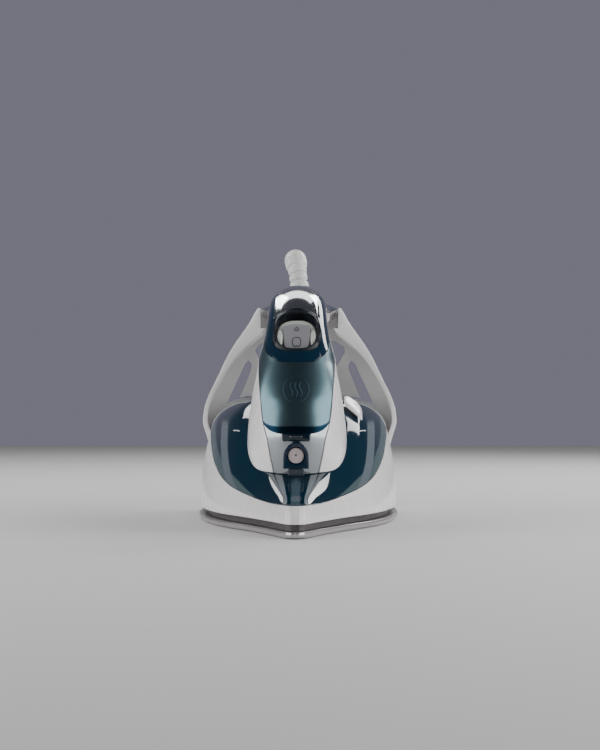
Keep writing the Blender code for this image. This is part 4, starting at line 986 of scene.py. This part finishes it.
lip = [(13.6, -6.0), (13.6, 0.9), (13.45, 1.35), (13.1, 1.6), (12.7, 1.6), (12.35, 1.3), (12.1, 0.8),
       (12.1, -6.0)]
rings = np.stack([wellLoop(r, r + 4.4, h) for r, h in lip])
size = rings.shape[:2]
bezel = settle(makePiece("rocker_bezel", rings,
                         np.vstack([gridFaces(*size, True), closingFaces(*size)])), 35)
dress(bezel, "iron", bezelGloss, "dark_plastic", "rocker_well")

shift = -1.6 * wellAlong
bodyRings = [wellLoop(11.0, 12.6, -4.4), wellLoop(11.4, 13.0, -4.0), wellLoop(11.4, 13.0, -2.4),
             wellLoop(11.25, 12.85, -1.85), wellLoop(10.9, 12.5, -1.6), wellLoop(10.0, 11.6, -1.6),
             wellLoop(9.6, 11.2, -2.0)]
dress(closedStack("rocker_cup", [ring + shift for ring in bodyRings], sharp=50), "rocker", cupPale,
      "pale_rocker", "rocker_body")

capLine = [(-14.0, -0.7), (-10, 0.9), (-4.2, 1.9), (1.8, 1.8), (5.2, 0.9)]


def capPoint(x, along, lift=0.0):
    # the cap's top: an arch along the rocker, crowned a little across
    line = through(capLine, np.linspace(0, 1, 80))
    height = np.interp(along, line[:, 0], line[:, 1]) - 0.006 * x**2 + lift
    return inWell(x, along, height)


u = across(41)
v = down(60)
along = -14.0 + 19.2 * v - 2.2 * v**4 * u**2  # the end above is drawn as an arch
taper = np.maximum(0.0, 1 - ((along + 1) / 16.5) ** 2) ** 0.25
capGrid = capPoint(7.7 * u * taper, along + 0 * u)
cap = skin("rocker_key", capGrid, 1.1, 0.45, (0, 100, 100))
dress(cap, "rocker", buttonGrey, "grey_button", "rocker_cap")

# a rounded cheek along each side of the cap
for side, label in ((-1, "right"), (1, "left")):
    a = np.linspace(0, 1, 50)
    middle = inWell(side * (9.35 + 0 * a), -12.4 + 14.6 * a, -2.2 + 2.3 * np.sin(np.pi * a) ** 0.6)
    dress(tube("rocker_cheek_" + label, middle, 0.5 + 1.25 * np.sin(np.pi * a) ** 0.5, 20), "rocker", cupPale,
          "pale_rocker")

# two printed marks on the cap: a drop for spray and a puff for steam
a = around(60)
dropX, dropAlong = 1.3 * np.sin(a) * np.sin(a / 2) ** 0.9, -0.6 + 1.7 * np.cos(a)
dress(tube("mark_drop", capPoint(dropX, dropAlong, 0.06), 0.24, 8, closed=True), "rocker", markInk,
      "dark_plastic")
puff = 1 + 0.16 * np.abs(np.cos(2 * a)) ** 0.5 - 0.30 * np.exp(-((a - 1.5 * np.pi) / 0.22) ** 2)
square = (np.abs(np.cos(a)) ** 4 + np.abs(np.sin(a)) ** 4) ** -0.25
puffPath = capPoint(2.05 * square * puff * np.cos(a), -10.3 + 2.6 * square * puff * np.sin(a), 0.06)
dress(tube("mark_puff", puffPath, 0.26, 8, closed=True), "rocker", markInk, "dark_plastic")

# the plated strip, with a raised bead along each side
u = across(61)
v = down(110)
beginStrip = 0.287 - 0.017 * u**2
bead = 0.32 * smooth((np.abs(u) - 0.915) / 0.04) * smooth((1.0 - np.abs(u)) / 0.02)
lift = 0.98 + bead + 0 * v
turns = u * np.arcsin(12.9 / 18.5) + 0 * v
strip = skin("plated_strip", handlePoint(beginStrip + (0.70 - beginStrip) * v, turns, lift), 0.7, 0.2,
             (0, 170, 120), sharp=55)
dress(strip, "iron", chromePlate, "chrome_plate", "chrome_trim")

edge = handlePoint(np.linspace(0.4, 1, 80), math.pi / 2, -0.4)
s = np.linspace(132.5, 284.0, 120)[:, None]
turn = np.linspace(-np.pi / 2, np.pi / 2, 61)[None, :]
half, top = (np.interp(s, edge[:, 1], edge[:, k]) for k in (0, 2))
depth = grip["depth"] - 5.0 * np.maximum(0.0, (s - 200) / 84)
square = 0.8 - 0.35 * np.clip((s - 225) / 40, 0, 1)  # squarer towards the heel
gripGrid = np.stack([half * np.sin(turn), s + 0 * turn,
                     top - 0.45 - depth * np.abs(np.cos(turn)) ** square], axis=-1)
dress(skin("grip_underside", gripGrid, hull["wall"], 0.4, (0, 200, 135)), "iron", shellWhite,
      "white_plastic", "handle_lower_shell")
print("the handle is formed")


# Nozzle, door and duct

def facing(loop, height, steps):
    # rings of an (x, z) loop round a height: one at each (distance, scale)
    return [np.stack([loop[:, 0] * k, np.full(len(loop), s), height + loop[:, 1] * k], axis=1)
            for s, k in steps]


nozzle = {"z": 42.8, "face": 46.0, "half": 7.1, "foot": 7.2}
a = np.linspace(0, np.pi, 40)
arch = nozzle["half"] * np.stack([-np.cos(a), np.sin(a)], axis=1)
arch = np.vstack([(-nozzle["half"], -nozzle["foot"]), arch, (nozzle["half"], -nozzle["foot"])])
hood = closedStack("nozzle_hood", facing(arch, nozzle["z"], ((45.2, 0.94), (45.7, 1.0), (53.0, 1.0))))
carve(hood, bore(5.0, -1.0, 5.2, (0, 45.0, nozzle["z"]), (0, 1, 0)),
      bore(2.1, 4.0, 12.0, (0, 45.0, nozzle["z"]), (0, 1, 0), 32), edge=0.3, sharp=35)
dress(hood, "iron", navyGloss, "navy_gloss", "nozzle_housing")
discProfile = [(0.45, 3.4), (4.45, 3.4), (4.45, 0.5), (4.3, 0.15), (3.95, 0.0), (1.3, 0.05), (1.0, 0.35),
               (0.6, 0.45), (0.45, 0.6)]
dress(turned("nozzle_disc", discProfile, (0, nozzle["face"], nozzle["z"]), (0, 1, 0), 64), "iron",
      nozzlePink, "white_plastic", "spray_nozzle")
duct = [[(-4.6, 47.4, 35.2), (4.6, 47.4, 35.2), (4.6, 53.5, 35.2), (-4.6, 53.5, 35.2)],
        [(-4.4, 50.2, 31.4), (4.4, 50.2, 31.4), (4.4, 54.6, 32.6), (-4.4, 54.6, 32.6)]]
dress(closedStack("duct_foot", duct, edge=0.5), "iron", ductGrey, "grey_duct", "nozzle_duct")


def roundedLoop(halfX, halfS, corner, count=12):
    loops = []
    for k, (sx, ss) in enumerate(((1, 1), (-1, 1), (-1, -1), (1, -1))):
        a = np.radians(np.linspace(k * 90, k * 90 + 90, count))
        loops.append(np.stack([sx * (halfX - corner) + corner * np.cos(a),
                               ss * (halfS - corner) + corner * np.sin(a)], axis=1))
    return np.vstack(loops)


doorRings = facing(roundedLoop(7.7, 4.7, 1.0), 55.2, ((51.7, 0.97), (51.85, 1.0), (52.9, 1.0)))
dress(closedStack("inlet_door", doorRings), "door", navyGloss, "navy_gloss", "fill_door")
ridgeRings = facing(roundedLoop(3.5, 0.45, 0.3), 53.2, ((50.6, 0.9), (50.9, 1.0), (51.75, 1.0)))
dress(closedStack("door_ridge", ridgeRings), "door", ductGrey, "grey_duct")


# Dial, button and lamp

dial = {"s": 172.0, "ribs": 48, "dots": 7, "dotRadius": 16.6}
top = float(crestHeight(dial["s"]))
a = np.arange(480) * 2 * np.pi / 480
rings = []
for radius, height, ribbed in ((21.8, 1.0, 0), (22.6, 1.3, 0.3), (23.2, 2.2, 1), (22.8, 5.2, 1),
                               (22.2, 6.6, 0.6), (20.9, 7.4, 0), (19.2, 8.0, 0), (14.0, 8.2, 0),
                               (5.0, 8.2, 0)):
    r = radius - 0.32 * ribbed * (0.5 + 0.5 * np.cos(dial["ribs"] * a)) ** 2
    rings.append(np.stack([r * np.cos(a), dial["s"] + r * np.sin(a), np.full(480, top + height)], axis=1))
dress(closedStack("dial_knob", rings, sharp=30), "dial", shellWhite, "white_plastic", "temperature_dial")
for k in range(dial["dots"]):  # setting dots round the dial's top
    a = math.radians(-60 + 40 * k)
    spot = (dial["dotRadius"] * math.cos(a), dial["s"] + dial["dotRadius"] * math.sin(a), top + 8.1)
    dress(turned(f"dial_dot_{k + 1}", [(0, -0.2), (0.5 + 0.1 * k, -0.2), (0.5 + 0.1 * k, 0.09), (0, 0.09)],
                 spot, sides=20), "dial", markInk, "dark_plastic")

cleanKey = {"x": 33.0, "s": 137.0, "corner": 3.0}
rings = []
for halfX, halfS, above in ((5.0, 6.8, 2.7), (5.3, 7.1, 3.0), (5.4, 7.2, 3.4), (5.3, 7.1, 4.2),
                            (5.0, 6.8, 4.8), (4.6, 6.4, 5.1), (3.9, 5.7, 5.35)):
    ring = roundedLoop(halfX, halfS, cleanKey["corner"]) + (cleanKey["x"], cleanKey["s"])
    rings.append(np.column_stack([ring, tankHeight(ring[:, 0], ring[:, 1]) + above]))
buttonCap = closedStack("clean_key", rings, sharp=50)
dress(buttonCap, "clean_button", shellWhite, "white_plastic", "self_clean_button")
lampS = 214
lampTop = float(crestHeight(lampS)) + 0.8
dress(turned("lamp_dome", [(0, 0), (2.9, 0), (3.0, 0.2), (2.8, 1.0), (2.1, 1.6), (1.1, 1.95), (0, 2.05)],
             (0, lampS, lampTop), sides=40), "iron", lensRed, "lamp_lens", "pilot_lens")


# Heel

heelWidth = station([(9, 51.5), (15, 54.8), (25, 56.4), (36, 57.6), (47, 60.4), (57.5, 63.2), (65, 62.4),
                     (73, 59.8), (82, 55.4), (91, 51.0), (100, 46.4), (108, 41.4), (115.5, 35.9),
                     (122, 31.4), (127.5, 28.4), (130.4, 26.4)])
heelFront = station([(9, hull["bodyEnd"] + 0.5), (60, hull["bodyEnd"] + 0.5), (80, 263), (100, 255),
                     (118, 246), (131, 240)])
heel = {"rear": 290.0, "wall": 3.0}
heelZ = 9 + (130.4 - 9) * (0.5 - 0.5 * np.cos(np.linspace(0, np.pi, 90)))


def heelLoop(inset, sOf, flare=0.0):
    # flare widens the rim towards the top
    inset = inset + flare * np.clip((heelZ - 84.0) / 36.0, 0, 1) ** 1.5
    height = 68.0 + (heelZ - 68.0) * (1 - inset / 61.0)
    right = np.stack([heelWidth(heelZ) - inset, sOf + 0 * heelZ, height], axis=1)
    return np.vstack([right, right[::-1] * (-1, 1, 1)])


rear, wall = heel["rear"], heel["wall"]
front = heelFront(heelZ)
rings = [heelLoop(wall, rear - wall, 5), heelLoop(wall, front + 0.5, 5),
         heelLoop(wall - 0.25, front + 0.12, 5), heelLoop(wall - 0.7, front, 5), heelLoop(0.7, front),
         heelLoop(0.25, front + 0.12), heelLoop(0.0, front + 0.5), heelLoop(0.0, rear - 3.6),
         heelLoop(0.35, rear - 2.0), heelLoop(1.3, rear - 0.7), heelLoop(3.0, rear)]
frameRear = closedStack("heel_bell", rings, sharp=50)
cutters = []
for side in (-1, 1):
    slotLine = [(34.0, 97.4), (36.6, 94.5), (40.2, 87.0), (44.8, 77.0), (48.8, 68.0), (50.6, 60.0),
                (47.6, 57.4), (44.6, 60.4), (40.2, 71.6), (36.7, 79.6), (33.2, 88.4), (32.0, 94.0)]
    loop = through(slotLine + slotLine[:1], np.linspace(0, 1, 90))[:-1]
    cutters.append(outline(loop * (side, 1), rear - 8, rear + 4))
window = [(-29.8, 104.2), (-27.4, 98.2), (-21, 88.5), (-12, 78.5), (-5, 73.4), (5, 73.4), (12, 78.5),
          (21, 88.5), (27.4, 98.2), (29.8, 104.2), (26.6, 108.0), (18, 110.4), (-18, 110.4),
          (-26.6, 108.0)]
loop = through(window + window[:1], np.linspace(0, 1, 140))[:-1]
cutters.append(outline(loop, rear - 8, rear + 4))
entry = [(230, 117.5), (286.4, 117.5), (286.4, 140), (230, 140)]
cutters.append(closedStack("cutter", [[(x, s, z) for s, z in entry] for x in (-25.0, 25.0)]))
carve(frameRear, *cutters, edge=0.5, sharp=35)
dress(frameRear, "iron", heelWhite, "white_plastic", "heel_frame")
print("the heel is formed")


# What stays as the model has it

inside = {
    castAlloy: "base_casting",
    innerSteel: "heating_element chamber_cover rocker_pin steam_spring spray_spring thermostat_shaft "
                "drip_valve thermostat_body thermal_fuse heel_screw_left heel_screw_right",
    darkMatt: "heat_shield board_relay mains_leads",
    ductGrey: "tank_base stem_tunnel lead_tunnel fill_funnel steam_pump_body spray_pump_body "
              "spray_tube steam_tube",
    buttonGrey: "steam_plunger spray_plunger",
    shellWhite: "terminal_block",
    boardGreen: "control_board",
}
for material, names in inside.items():
    for shape in (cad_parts[name] for name in names.split()):
        for holder in shape.material_slots:
            holder.material = material
        if not shape.material_slots:
            shape.data.materials.append(material)

print("finished")
